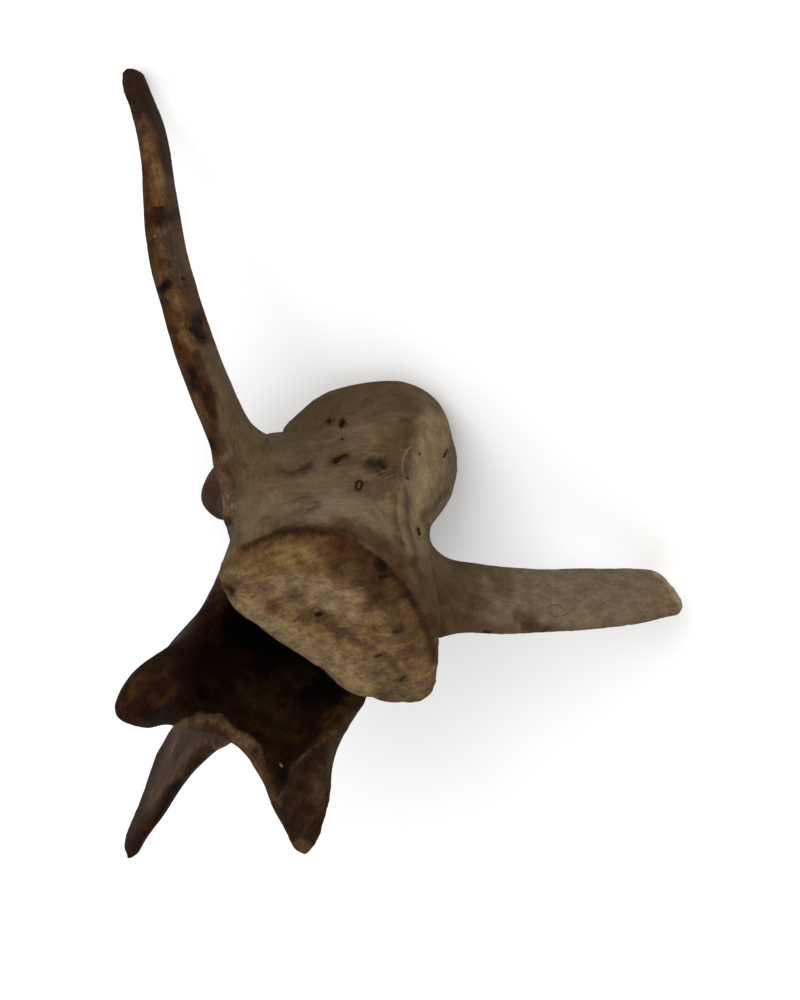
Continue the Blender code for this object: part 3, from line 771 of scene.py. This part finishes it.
        "redRight": ("archRed", 4, 5, 0.85, 3, [(344, 716), (356, 706)]),
        "ochreRight": ("archOchre", 5, 6, 0.75, 4, [(322, 724), (340, 708), (358, 698)]),
        "ochreRightLow": ("archOchre", 4, 6, 0.65, 4, [(322, 738), (336, 728), (352, 716)]),
        "ochreEdge": ("prongTan", 3, 5, 0.6, 3, [(340, 730), (356, 716), (368, 700)]),
        # The pits are painted near-black.
        "pitBig": ("blackStainAndShade", 14, 8, 0.92, 4, [(308, 696), (318, 690)]),
        "pitLeft": ("blackStainAndShade", 7, 7, 0.8, 3, [(202, 690), (204, 696)]),
        "pitLow": ("blackStainAndShade", 7, 6, 0.9, 3, [(281, 770), (283, 780)]),
        "prongWarm": ("archOchre", 8, 9, 0.6, 7, [(134, 690), (150, 676), (166, 664)]),
        "prongWarmLow": ("prongTan", 7, 8, 0.6, 5, [(124, 708), (138, 704), (156, 700)]),
        "prongTip": ("prongTan", 6, 6, 0.85, 3, [(118, 700), (118, 714), (130, 722), (146, 726)]),
        "prongRed": ("archRed", 4, 5, 0.65, 4, [(180, 656), (182, 668)]),
        "prongStreak": ("archOchre", 3, 5, 0.6, 4, [(160, 704), (172, 694), (180, 686)]),
        "prongDark": ("blackStainAndShade", 8, 10, 0.45, 6, [(150, 668), (170, 650)]),
        # The rimBand strokes below paint the lit edge of the arch's wall: painted light.
        "rimBandPale": ("rimPale", 4, 5, 0.65, 3, [(184, 724), (202, 718), (220, 720), (232, 736),
            (250, 744)]),
        "rimBandMid": ("spineBrown", 8, 8, 0.6, 4, [(186, 736), (204, 730), (222, 736)]),
        "rimBandLow": ("prongTan", 4, 5, 0.6, 3, [(256, 752), (266, 770), (272, 790)]),
        "leftEdgeRed": ("spineRed", 3, 4, 0.75, 2, [(274, 804), (284, 822), (290, 840)]),
        "facetUpper": ("facetPale", 8, 8, 0.55, 4, [(354, 716), (340, 740), (332, 762)]),
        "facetMid": ("prongTan", 8, 9, 0.5, 6, [(300, 768), (298, 790), (304, 806)]),
        "facetPatch": ("facetPale", 8, 9, 0.5, 5, [(322, 776), (318, 800)]),
        "facetDark": ("umber", 6, 8, 0.55, 5, [(290, 800), (300, 822)]),
        "facetRed": ("archRed", 4, 5, 0.5, 4, [(310, 764), (316, 772)]),
        "facetTip": ("spinePale", 8, 7, 0.9, 3, [(300, 846), (308, 854)]),
        "spinePaleOne": ("spinePale", 3, 5, 0.75, 3, [(176, 738), (168, 758), (160, 778)]),
        "spinePaleTwo": ("spinePale", 4, 6, 0.6, 4, [(198, 742), (184, 762), (172, 778)]),
        "spinePaleThree": ("spinePale", 3, 4, 0.8, 2, [(150, 794), (160, 784), (176, 780)]),
        "spinePaleFour": ("spinePale", 3, 4, 0.7, 2, [(146, 814), (152, 800), (160, 792)]),
        "spineDarkOne": ("spineDark", 9, 8, 0.85, 5, [(178, 788), (166, 804), (158, 822)]),
        "spineDarkTwo": ("spineDark", 3, 5, 0.7, 3, [(160, 742), (154, 764), (144, 790), (134, 814)]),
        "spineLow": ("spineRed", 10, 9, 0.8, 4, [(148, 818), (138, 836), (130, 852)]),
        "spineTip": ("spineRed", 12, 8, 0.9, 2, [(134, 838), (130, 854)]),
    },
}

# Which way the bone's fibres run on each side, as a turn from the photograph's right, in degrees.
grainRuns = {"body": 21.0, "sideBlade": -73.0, "spine": -120.0}
grainBorders = {"sideBlade": ("x", 11.0, 15.0), "spine": ("z", 6.0, 12.0)}
grainStretch = 0.14

# How strongly the grain varies the colour on each side.
restless = {"underside": 0.45, "rearFace": 0.75, "arch": 1.0, "sideBlade": 0.95, "hidden": 0.8}

# Where one side of the bone ends and the next begins, in mm of the bone's own axes.
borders = {
    "back": (0.75, 1.25),
    "backWobble": 0.4,
    "rearDepth": 9.0,
    "rearFade": 3.0,
    "rearSoft": 3.0,
    "blade": (16.0, 18.0),
    "thinBlade": (15.0, 18.0),
    "bladeGrain": (10.0, 14.0),
    "rearMarks": (0.9, 1.2),
}
thinBladeShare = 0.85
rearHold = 0.7

# The line on the photograph where the long process meets the body, and its soft edge, in pixels.
bladeLine = {"x": 202.0, "y": 350.0, "slope": 0.22, "soft": (-6.0, 8.0)}

# The paint is spread this many edges past what the photograph shows, and keeps this share at each.
paintSpread = {"rounds": 10, "fade": 0.97, "least": 1e-9}

# Painted shade in hollows: how near another part of the bone is, in metres, felt along a straight probe and a
# slanted ring.
cramped = {"reach": 0.014, "probes": 7, "aside": 0.87, "outward": 0.5, "steep": 0.9}

# Layers on the sides that the photograph doesn't show. Each layer: tone, strength, and its limits as an
# axis, where it begins and where it is full in mm, and how far the noise shifts it.
hiddenLayers = {
    "frontEnd": ("faceTan", 1.0, [("y", 34.0, 35.6, 1.6), ("z", 1.0, 0.0, 0.0)]),
    "archSides": ("oldBrown", 0.85, [("z", 1.0, 6.0, 2.0)]),
    "archBack": ("spineBrown", 1.0, [("z", 16.0, 22.0, 2.0)]),
    "spineEdge": ("spineDark", 0.7, [("z", 38.0, 44.0, 4.0), ("y", 27.0, 19.0, 0.0)]),
    "rightBlade": ("sideBrown", 1.0, [("x", 15.0, 20.0, 2.0)]),
    "rightTip": ("sideDark", 0.8, [("x", 36.0, 40.0, 4.0)]),
    "leftBlade": ("bladeTaupe", 1.0, [("x", -15.0, -20.0, -2.0)]),
}
blotches = {"tone": "oldBrown", "strength": 0.6, "range": (0.50, 0.70)}


def areaShare(pixels, corners, soft, wobble):
    edge = np.array(corners, float)
    inside = np.zeros(len(pixels), bool)
    x, y = pixels[:, 0], pixels[:, 1]
    for start, end in zip(edge, np.roll(edge, -1, axis=0)):
        rise = end[1] - start[1] if end[1] != start[1] else 1.0
        crosses = (start[1] > y) != (end[1] > y)
        inside ^= crosses & (x < start[0] + (y - start[1]) * (end[0] - start[0]) / rise)
    away = pathDistance(pixels, list(edge) + [edge[0]])
    signed = np.where(inside, away, -away) + (wobble - 0.5) * soft
    return smoothStep(signed, -soft / 2, soft / 2)


def laid(tint, tone, share):
    return tint + (np.array(tones[tone]) - tint) * np.clip(share, 0.0, 1.0)[:, None]


def plainTint(count):
    return np.tile(tones["taupe"], (count, 1)).astype(float)


def hiddenTint(places, wobble):
    axes = dict(zip("xyz", places.T))
    tint = plainTint(len(places))
    for tone, strength, limits in hiddenLayers.values():
        share = np.full(len(places), strength)
        for axis, begin, full, drift in limits:
            share *= smoothStep(axes[axis] + (wobble - 0.5) * drift, begin, full)
        tint = laid(tint, tone, share)
    blotch = smoothStep(cloudNoise(places, "blotch"), *blotches["range"])
    return laid(tint, blotches["tone"], blotch * blotches["strength"])


def sideShares(places, pixels, wobble):
    x, y, z = places.T
    back = smoothStep(z + (wobble - 0.5) * borders["backWobble"], *borders["back"])
    corners = fields["rearFace"]["face"][2]
    rear = areaShare(pixels, corners, borders["rearSoft"], wobble)
    rear = rear * smoothStep(borders["rearDepth"] - y, 0.0, borders["rearFade"]) * (1.0 - back)
    blade = smoothStep(np.abs(x), *borders["blade"])
    return {"underside": np.ones(len(places)), "rearFace": rear * (1.0 - blade), "arch": back * (1.0 - blade)}


def shownTint(places, pixels, wobble, fine):
    tint = plainTint(len(places))
    sides = sideShares(places, pixels, wobble)
    for side, share in sides.items():
        for tone, soft, corners in fields[side].values():
            tint = laid(tint, tone, areaShare(pixels, corners, soft, wobble) * share)
    sides["underside"] = 1.0 - np.maximum(sides["arch"], sides["rearFace"] * rearHold)
    for side, share in sides.items():
        for tone, width, soft, strength, rough, path in stains[side].values():
            tint = laid(tint, tone, strokeShare(pixels, path, width, soft, rough, fine) * strength * share)
    return tint


def spreadTint(tint, weight):
    ends = np.zeros(len(skin.data.edges) * 2, dtype=np.int64)
    skin.data.edges.foreach_get("vertices", ends)
    one, two = ends[0::2], ends[1::2]
    count = len(weight)
    links = np.bincount(one, minlength=count) + np.bincount(two, minlength=count)
    for step in range(paintSpread["rounds"]):
        load = np.bincount(one, weight[two], count) + np.bincount(two, weight[one], count)
        fresh = np.empty_like(tint)
        for channel in range(3):
            held = tint[:, channel] * weight
            fresh[:, channel] = np.bincount(one, held[two], count) + np.bincount(two, held[one], count)
        fresh /= np.maximum(load, paintSpread["least"])[:, None]
        grown = np.maximum(weight, load / np.maximum(links, 1) * paintSpread["fade"])
        share = np.where(grown > weight, (grown - weight) / np.maximum(grown, paintSpread["least"]), 0.0)
        tint = tint + (fresh - tint) * share[:, None]
        weight = grown
    return tint, weight


def crampedShare(places, normals):
    tree = BVHTree.FromObject(skin, bpy.context.evaluated_depsgraph_get())
    probes = [(0.0, 0.0, 1.0)]
    for turn in range(cramped["probes"]):
        angle = turn * math.tau / cramped["probes"]
        aside = np.array([math.cos(angle), math.sin(angle)]) * cramped["aside"]
        probes.append((*aside, cramped["outward"]))
    hidden = np.zeros(len(places))
    starts = toGround(places + normals * relief["clearance"])
    helper = np.where(np.abs(normals[:, :1]) < cramped["steep"], [[1.0, 0.0, 0.0]], [[0.0, 1.0, 0.0]])
    side = np.cross(normals, helper)
    side /= np.linalg.norm(side, axis=1)[:, None]
    other = np.cross(normals, side)
    for a, b, c in probes:
        ways = (side * a + other * b + normals * c) @ restTurn.T
        for index in range(len(places)):
            hit = tree.ray_cast(Vector(starts[index]), Vector(ways[index]), cramped["reach"])
            if hit[0] is not None:
                hidden[index] += 1.0 - hit[3] / cramped["reach"]
    return hidden / len(probes)


def grainPlaces(places):
    axes = dict(zip("xyz", places.T))
    angle = np.full(len(places), math.radians(grainRuns["body"]))
    for name, (axis, begin, full) in grainBorders.items():
        angle += (math.radians(grainRuns[name]) - angle) * smoothStep(axes[axis], begin, full)
    across, upward, deep = [places @ way for way in viewTurn]
    along = across * np.cos(angle) + upward * np.sin(angle)
    cross = upward * np.cos(angle) - across * np.sin(angle)
    return np.stack([along * grainStretch, cross, deep], axis=1)


def storeVectors(name, values):
    layer = skin.data.attributes.new(name, "FLOAT_VECTOR", "POINT")
    layer.data.foreach_set("vector", np.ascontiguousarray(values, dtype=float).ravel())


def storeColours(name, *channels):
    colours = np.ones((len(channels[0]), 4))
    for index, channel in enumerate(channels):
        colours[:, index] = channel
    layer = skin.data.color_attributes.new(name, "FLOAT_COLOR", "POINT")
    layer.data.foreach_set("color", colours.ravel())


def livelyShare(places, pixels, wobble, reach):
    sides = sideShares(places, pixels, wobble)
    pastLine = bladeLine["x"] + (pixels[:, 1] - bladeLine["y"]) * bladeLine["slope"] - pixels[:, 0]
    blade = smoothStep(pastLine, *bladeLine["soft"]) * smoothStep(places[:, 0], *borders["bladeGrain"])
    lively = np.full(len(places), restless["underside"])
    steps = {"rearFace": sides["rearFace"], "arch": sides["arch"], "sideBlade": blade, "hidden": 1.0 - reach}
    for name, share in steps.items():
        lively += (restless[name] - lively) * share
    return lively


def storePaint():
    places, normals, pixels, seen = skinView()
    wobble = cloudNoise(places, "wobble")
    shown, reach = spreadTint(shownTint(places, pixels, wobble, cloudNoise(places, "fine")), seen)
    # The thin blades are stained right through.
    reach = np.maximum(reach, smoothStep(np.abs(places[:, 0]), *borders["thinBlade"]) * thinBladeShare)
    hidden = hiddenTint(places, wobble)
    tint = hidden + (shown - hidden) * reach[:, None]
    storeColours("tint", *(tint * toneShare).T)
    # The second channel of marks holds how cramped each point is, which the material turns into painted shade.
    storeColours("marks", livelyShare(places, pixels, wobble, reach), crampedShare(places, normals))
    dark, pale = [markShare(places, pixels, book) * seen for book in (darkMarks, paleMarks)]
    storeColours("crispMarks", dark, pale)
    storeVectors("grainPlace", grainPlaces(places))


# Crisp marks. Each mark: start, end, width and soft edge in the photograph's pixels, strength. The marks
# under rearFace stay on that face. A mark with a ring is drawn round its line, at that distance.
darkMarks = {
    "around": {
        "foramenOne": ((328.2, 421.0), (329.4, 421.6), 2.0, 1.6, 0.75),
        "foramenTwo": ((342.8, 421.5), (341.6, 425.5), 2.4, 2.2, 0.92),
        "foramenThree": ((342.0, 439.0), (342.6, 439.4), 1.8, 1.4, 0.75),
        "slit": ((335.0, 459.6), (346.0, 455.6), 1.1, 2.4, 0.8),
        "slitBlob": ((335.5, 462.0), (338.0, 460.0), 2.8, 2.0, 0.8),
        "ovalHole": ((358.3, 487.0), (359.5, 483.6), 1.1, 1.1, 0.9),
        "smudgeOne": ((369.6, 462.0), (374.0, 465.0), 1.4, 4.4, 0.62),
        "smudgeTwo": ((379.0, 463.0), (383.0, 467.0), 2.2, 5.0, 0.66),
        "scribbleOne": ((281.0, 470.5), (291.0, 474.0), 0.9, 2.2, 0.41),
        "scribbleTwo": ((291.0, 474.0), (309.0, 466.0), 0.9, 2.4, 0.45),
        "scribbleThree": ((297.5, 498.0), (307.5, 496.0), 0.9, 2.2, 0.38),
        "diagonal": ((306.5, 511.5), (317.5, 505.0), 0.9, 2.0, 0.45),
        "neckDot": ((266.4, 440.2), (267.4, 440.6), 2.2, 2.0, 0.55),
        "lowDot": ((253.8, 475.0), (254.2, 475.2), 1.6, 1.8, 0.5),
        "ridgeDot": ((407.4, 477.8), (407.8, 478.4), 1.8, 1.4, 0.75),
        "lobeDot": ((419.4, 453.6), (419.8, 454.0), 1.6, 1.4, 0.7),
        "lobeSlit": ((443.6, 456.6), (447.4, 450.2), 1.0, 1.4, 0.75),
        # lobeCrease and the ridgeLine marks are painted shade in the creases beside the keel ridge.
        "lobeCrease": ((433.0, 510.0), (445.0, 492.0), 1.0, 3.0, 0.34),
        "valleyForamen": ((418.4, 529.4), (419.4, 534.0), 1.7, 2.0, 0.86),
        "ridgeLineOne": ((401.0, 478.0), (396.0, 498.0), 1.0, 3.0, 0.4),
        "ridgeLineTwo": ((396.0, 498.0), (397.0, 522.0), 1.0, 3.0, 0.4),
        "ridgeLineThree": ((397.0, 522.0), (406.0, 556.0), 1.0, 3.0, 0.4),
        "ridgeLineFour": ((406.0, 498.0), (409.0, 530.0), 0.8, 2.4, 0.31),
        "ridgeLineFive": ((409.0, 530.0), (417.0, 560.0), 0.8, 2.8, 0.37),
        "leafTop": ((550.4, 605.0), (559.0, 604.6), 0.8, 1.2, 0.43),
        "leafRight": ((559.0, 604.6), (567.4, 613.6), 0.8, 1.2, 0.43),
        "leafLow": ((566.6, 614.4), (554.4, 617.0), 0.8, 1.2, 0.43),
        "leafLeft": ((552.4, 616.0), (549.0, 607.6), 0.8, 1.2, 0.39),
        "bladeCrack": ((484.0, 631.4), (490.0, 632.2), 1.4, 1.6, 0.8),
        "sideCrack": ((154.0, 208.4), (164.0, 207.6), 1.0, 1.4, 0.64),
        "sideBlot": ((163.4, 289.6), (166.0, 285.4), 3.2, 4.4, 0.75),
        "sideThread": ((168.0, 289.0), (192.0, 286.0), 0.7, 1.6, 0.45),
        "sideDot": ((182.6, 278.6), (183.8, 279.4), 2.0, 1.8, 0.8),
        "sideDarkOne": ((200.0, 317.0), (201.0, 322.0), 1.2, 4.0, 0.6),
        "sideDarkTwo": ((192.0, 329.0), (197.0, 331.0), 1.6, 4.4, 0.66),
        "sideDarkThree": ((200.0, 337.4), (204.6, 337.8), 1.4, 1.6, 0.85),
        "sideDarkFour": ((191.0, 371.0), (194.6, 377.0), 2.4, 3.0, 0.65),
        "sideFoot": ((209.4, 441.4), (211.4, 444.4), 2.6, 2.0, 0.8),
    },
    "rearFace": {
        "rimLineOne": ((262.0, 533.4), (282.0, 528.4), 0.9, 2.2, 0.34),
        "rimLineTwo": ((282.0, 528.4), (314.0, 527.2), 1.2, 2.4, 0.46),
        "rimLineThree": ((314.0, 527.2), (346.0, 531.4), 1.2, 2.6, 0.46),
        "rimLineFour": ((346.0, 531.4), (366.0, 540.0), 1.0, 3.2, 0.37),
        "facePit": ((316.6, 614.6), (321.0, 613.8), 2.0, 2.6, 0.86),
        "faceCrack": ((294.4, 621.2), (299.0, 617.8), 0.8, 1.6, 0.65),
        "faceDarkest": ((380.6, 563.6), (383.4, 568.6), 2.4, 4.4, 0.72),
        "faceDarkNext": ((380.6, 577.6), (385.6, 576.0), 1.8, 2.4, 0.8),
        "cornerSpot": ((231.0, 589.4), (232.4, 591.6), 2.4, 2.4, 0.7),
        "lowOne": ((375.6, 657.0), (381.6, 655.0), 1.2, 2.0, 0.65),
        "lowTwo": ((401.0, 680.0), (404.0, 677.0), 1.4, 2.0, 0.65),
        "lowThree": ((396.0, 686.0), (398.0, 690.0), 1.2, 1.8, 0.5),
        "lowFour": ((396.0, 632.0), (401.0, 630.0), 1.8, 2.6, 0.5),
    },
}
paleMarks = {
    "around": {
        "archFleck": ((280.4, 764.4), (281.6, 766.0), 1.6, 1.2, 0.75),
        "sideFleckOne": ((153.6, 235.6), (154.4, 237.0), 1.2, 1.0, 0.8),
        "sideFleckTwo": ((156.4, 231.6), (156.8, 232.2), 0.9, 0.9, 0.65),
        "cutEdgeOne": ((658.4, 575.6), (661.0, 577.0), 1.6, 2.0, 0.85),
        "cutEdgeTwo": ((672.0, 583.0), (686.0, 611.0), 1.0, 3.0, 0.6),
        "arcOne": ((411.5, 446.5), (407.0, 450.5), 0.6, 1.3, 0.7),
        "arcTwo": ((407.0, 450.5), (403.8, 457.0), 0.6, 1.3, 0.75),
        "arcThree": ((403.8, 457.0), (402.2, 465.0), 0.6, 1.3, 0.7),
        "arcFour": ((402.2, 465.0), (402.6, 474.0), 0.6, 1.3, 0.6),
        "arcFoot": ((377.0, 474.0), (392.0, 468.0), 0.5, 1.4, 0.42),
        "arcFootLow": ((386.0, 478.0), (398.0, 473.0), 0.5, 1.4, 0.4),
        "valleyFibre": ((414.0, 488.0), (421.0, 522.0), 1.0, 3.0, 0.32),
        "spineOne": ((170.0, 756.0), (178.0, 736.0), 0.7, 1.4, 0.4),
        "spineTwo": ((176.0, 764.0), (190.0, 742.0), 0.6, 1.2, 0.32),
    },
    "rearFace": {
        "faceFibre": ((322.0, 594.0), (331.0, 592.0), 0.9, 2.4, 0.36),
    },
}
rings = {"ovalHole": 2.6}

# Where the mesh is made finer for the marks: a margin round them and the widest mark that counts, in
# pixels. The first pass leaves out the pits, which are fine already.
markPasses = {
    "allMarks": {"margin": 1.2, "widest": math.inf, "besidePits": True},
    "smallMarks": {"margin": 0.2, "widest": 3.4, "besidePits": False},
}


def markDistance(pixels, name, start, end):
    return np.abs(pathDistance(pixels, [start, end]) - rings.get(name, 0.0))


def markShare(places, pixels, book):
    share = np.zeros(len(pixels))
    rear = 1.0 - smoothStep(places[:, 2], *borders["rearMarks"])
    for side, marks in book.items():
        for name, (start, end, width, soft, strength) in marks.items():
            near = nearPixels(pixels, [start, end], rings.get(name, 0.0) + width / 2 + soft)
            away = markDistance(pixels[near], name, start, end) - width / 2
            here = (1.0 - smoothStep(away, 0.0, soft)) * strength
            if side == "rearFace":
                here = here * rear[near]
            share[near] = np.maximum(share[near], here)
    return share


def splitNearMarks(margin, widest, besidePits):
    places, normals, pixels, seen = skinView()
    near = np.zeros(len(places), bool)
    for marks in list(darkMarks.values()) + list(paleMarks.values()):
        for name, (start, end, width, soft, strength) in marks.items():
            if width / 2 + soft < widest:
                near |= markDistance(pixels, name, start, end) < width / 2 + soft + margin
    if besidePits:
        near &= nearPits(pixels) < relief["pitLeast"]
    splitFaces(near & (seen > 0.0))


for markPass in markPasses.values():
    splitNearMarks(**markPass)
storePaint()
print("paint stored on", len(skin.data.vertices), "points")


def nodeMaker(tree):
    # Each input takes a socket to link or a constant to set.
    def add(kind, inputs, **settings):
        node = tree.nodes.new(kind)
        for name, value in settings.items():
            setattr(node, name, value)
        fill(node, inputs)
        return node

    def fill(node, inputs):
        for label, value in inputs.items():
            if isinstance(value, bpy.types.NodeSocket):
                tree.links.new(value, node.inputs[label])
            else:
                node.inputs[label].default_value = value

    return add, fill


def newGroup(name, inputs, outputs):
    group = bpy.data.node_groups.new(name, "ShaderNodeTree")
    for way, labels in (("INPUT", inputs), ("OUTPUT", outputs)):
        for label in labels:
            kind = "NodeSocketVector" if label == "Place" else "NodeSocketFloat"
            group.interface.new_socket(name=label, in_out=way, socket_type=kind)
    return group, group.nodes.new("NodeGroupInput"), group.nodes.new("NodeGroupOutput")


boneLook = {
    "mottle": {"scale": 0.55, "range": (0.36, 0.64), "swing": (0.62, 1.30)},
    "streak": {"scale": 2.4, "range": (0.34, 0.66), "swing": (0.74, 1.20)},
    "fine": {"scale": 2.8, "range": (0.34, 0.66), "swing": (0.80, 1.16)},
    "noiseDetail": 5.0,
    "noiseRoughness": 0.62,
    "pores": {"Scale": 1.5, "Size": 0.15, "Share": 0.28},
    "poreStrength": 0.7,
    "poreDarken": (0.42, 0.34, 0.28),
    "ragged": (-0.50, 0.50),
    "dark": {"tone": (0.0030, 0.0014, 0.0007, 1.0), "strength": 0.94, "range": (0.12, 0.95)},
    "pale": {"tone": (0.150, 0.105, 0.060, 1.0), "strength": 0.8, "range": (0.15, 0.85)},
    # grime: painted shade, laid near-black where other parts of the bone crowd close.
    "grime": {"tone": (0.0016, 0.0007, 0.0003, 1.0), "strength": 0.9, "range": (0.42, 0.85)},
    "roughness": (0.66, 0.88),
    "gloss": 0.04,
    "height": {"fine": 0.8, "pores": -0.5, "dark": -1.4, "pale": 0.6},
    "bumpStrength": 0.7,
    "bumpDistance": 0.00016,
}


def boneGrainGroup():
    group, given, result = newGroup("boneGrain", ["Place", "Scale", "Low", "High"], ["Value", "Mask"])
    add, fill = nodeMaker(group)
    noise = add("ShaderNodeTexNoise", {
        "Vector": given.outputs["Place"],
        "Scale": given.outputs["Scale"],
        "Detail": boneLook["noiseDetail"],
        "Roughness": boneLook["noiseRoughness"],
    })
    mask = add("ShaderNodeMapRange", {
        "Value": noise.outputs["Fac"],
        "From Min": given.outputs["Low"],
        "From Max": given.outputs["High"],
    }, interpolation_type="SMOOTHSTEP")
    fill(result, {"Value": noise.outputs["Fac"], "Mask": mask.outputs["Result"]})
    return group


def bonePoresGroup():
    group, given, result = newGroup("bonePores", ["Place", "Scale", "Size", "Share"], ["Mask"])
    add, fill = nodeMaker(group)
    cells = add("ShaderNodeTexVoronoi", {"Vector": given.outputs["Place"], "Scale": given.outputs["Scale"]})
    parts = add("ShaderNodeSeparateColor", {"Color": cells.outputs["Color"]})
    dot = add("ShaderNodeMath", {0: cells.outputs["Distance"], 1: given.outputs["Size"]}, operation="LESS_THAN")
    chosen = add("ShaderNodeMath", {0: parts.outputs["Red"], 1: given.outputs["Share"]}, operation="LESS_THAN")
    both = add("ShaderNodeMath", {0: dot.outputs[0], 1: chosen.outputs[0]}, operation="MULTIPLY")
    fill(result, {"Mask": both.outputs[0]})
    return group


boneGrain = boneGrainGroup()
bonePores = bonePoresGroup()


def weatheredBone():
    look = boneLook
    material = bpy.data.materials.new("weatheredBone")
    material.use_nodes = True
    tree = material.node_tree
    add, fill = nodeMaker(tree)

    def stored(name):
        return add("ShaderNodeAttribute", {}, attribute_name=name)

    def channels(name):
        parts = add("ShaderNodeSeparateColor", {"Color": stored(name).outputs["Color"]})
        return parts.outputs["Red"], parts.outputs["Green"]

    def noise(source, name):
        low, high = look[name]["range"]
        inputs = {"Place": source, "Scale": look[name]["scale"], "Low": low, "High": high}
        return add("ShaderNodeGroup", inputs, node_tree=boneGrain)

    def ranged(source, low, high, start=0.0, end=1.0, kind="LINEAR"):
        inputs = {"Value": source, "From Min": start, "From Max": end, "To Min": low, "To Max": high}
        return add("ShaderNodeMapRange", inputs, interpolation_type=kind).outputs["Result"]

    def worked(operation, one, two):
        return add("ShaderNodeMath", {0: one, 1: two}, operation=operation).outputs[0]

    def scaled(vector, value):
        return add("ShaderNodeVectorMath", {0: vector, "Scale": value}, operation="SCALE").outputs[0]

    def mixed(share, base, over):
        node = add("ShaderNodeMix", {"Factor": share}, data_type="RGBA")
        colours = [index for index, socket in enumerate(node.inputs) if socket.type == "RGBA"]
        fill(node, dict(zip(colours, (base, over))))
        return [socket for socket in node.outputs if socket.type == "RGBA"][0]

    def varied(colour, source, name):
        # The swing grows where the surface is lively and shrinks where it is calm.
        least, most = look[name]["swing"]
        swing = worked("MULTIPLY", ranged(source.outputs["Mask"], least - 1.0, most - 1.0), lively)
        return scaled(colour, worked("ADD", swing, 1.0))

    def covered(source, name):
        start, end = look[name]["range"]
        return ranged(source, 0.0, look[name]["strength"], start, end, "SMOOTHSTEP")

    inMm = scaled(add("ShaderNodeTexCoord", {}).outputs["Object"], 1.0 / millimetre)
    alongGrain = stored("grainPlace").outputs["Vector"]
    lively, crampedness = channels("marks")
    darkMark, paleMark = channels("crispMarks")
    mottle = noise(inMm, "mottle")
    fine = noise(inMm, "fine")
    streak = noise(alongGrain, "streak")
    colour = varied(stored("tint").outputs["Color"], mottle, "mottle")
    colour = varied(colour, streak, "streak")
    colour = varied(colour, fine, "fine")

    pores = add("ShaderNodeGroup", {"Place": alongGrain, **look["pores"]}, node_tree=bonePores).outputs["Mask"]
    darkened = add("ShaderNodeVectorMath", {0: colour, 1: look["poreDarken"]}, operation="MULTIPLY")
    poreShare = worked("MULTIPLY", worked("MULTIPLY", pores, lively), look["poreStrength"])
    colour = mixed(poreShare, colour, darkened.outputs[0])

    ragged = ranged(fine.outputs["Value"], *look["ragged"])
    pale = covered(worked("ADD", paleMark, ragged), "pale")
    # Painted shade: the colour darkens where other parts of the bone crowd close.
    grime = covered(crampedness, "grime")
    dark = covered(worked("ADD", darkMark, ragged), "dark")
    for name, share in (("pale", pale), ("grime", grime), ("dark", dark)):
        colour = mixed(share, colour, look[name]["tone"])

    height = streak.outputs["Value"]
    heights = {"fine": fine.outputs["Value"], "pores": pores, "dark": dark, "pale": pale}
    for name, source in heights.items():
        height = worked("ADD", height, worked("MULTIPLY", source, look["height"][name]))
    bump = add("ShaderNodeBump", {
        "Strength": look["bumpStrength"],
        "Distance": look["bumpDistance"],
        "Height": height,
    })
    fill(tree.nodes["Principled BSDF"], {
        "Base Color": colour,
        "Roughness": ranged(mottle.outputs["Value"], *look["roughness"]),
        "Specular IOR Level": look["gloss"],
        "Normal": bump.outputs["Normal"],
    })
    return material


bone = weatheredBone()
print("bone material made")

skin.data.shade_smooth()
skin.data.materials.append(bone)
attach(skin, "root")
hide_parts("vertebra")

print("sizes", [round(value, 4) for value in list(cadBox[0]) + list(cadBox[1])])
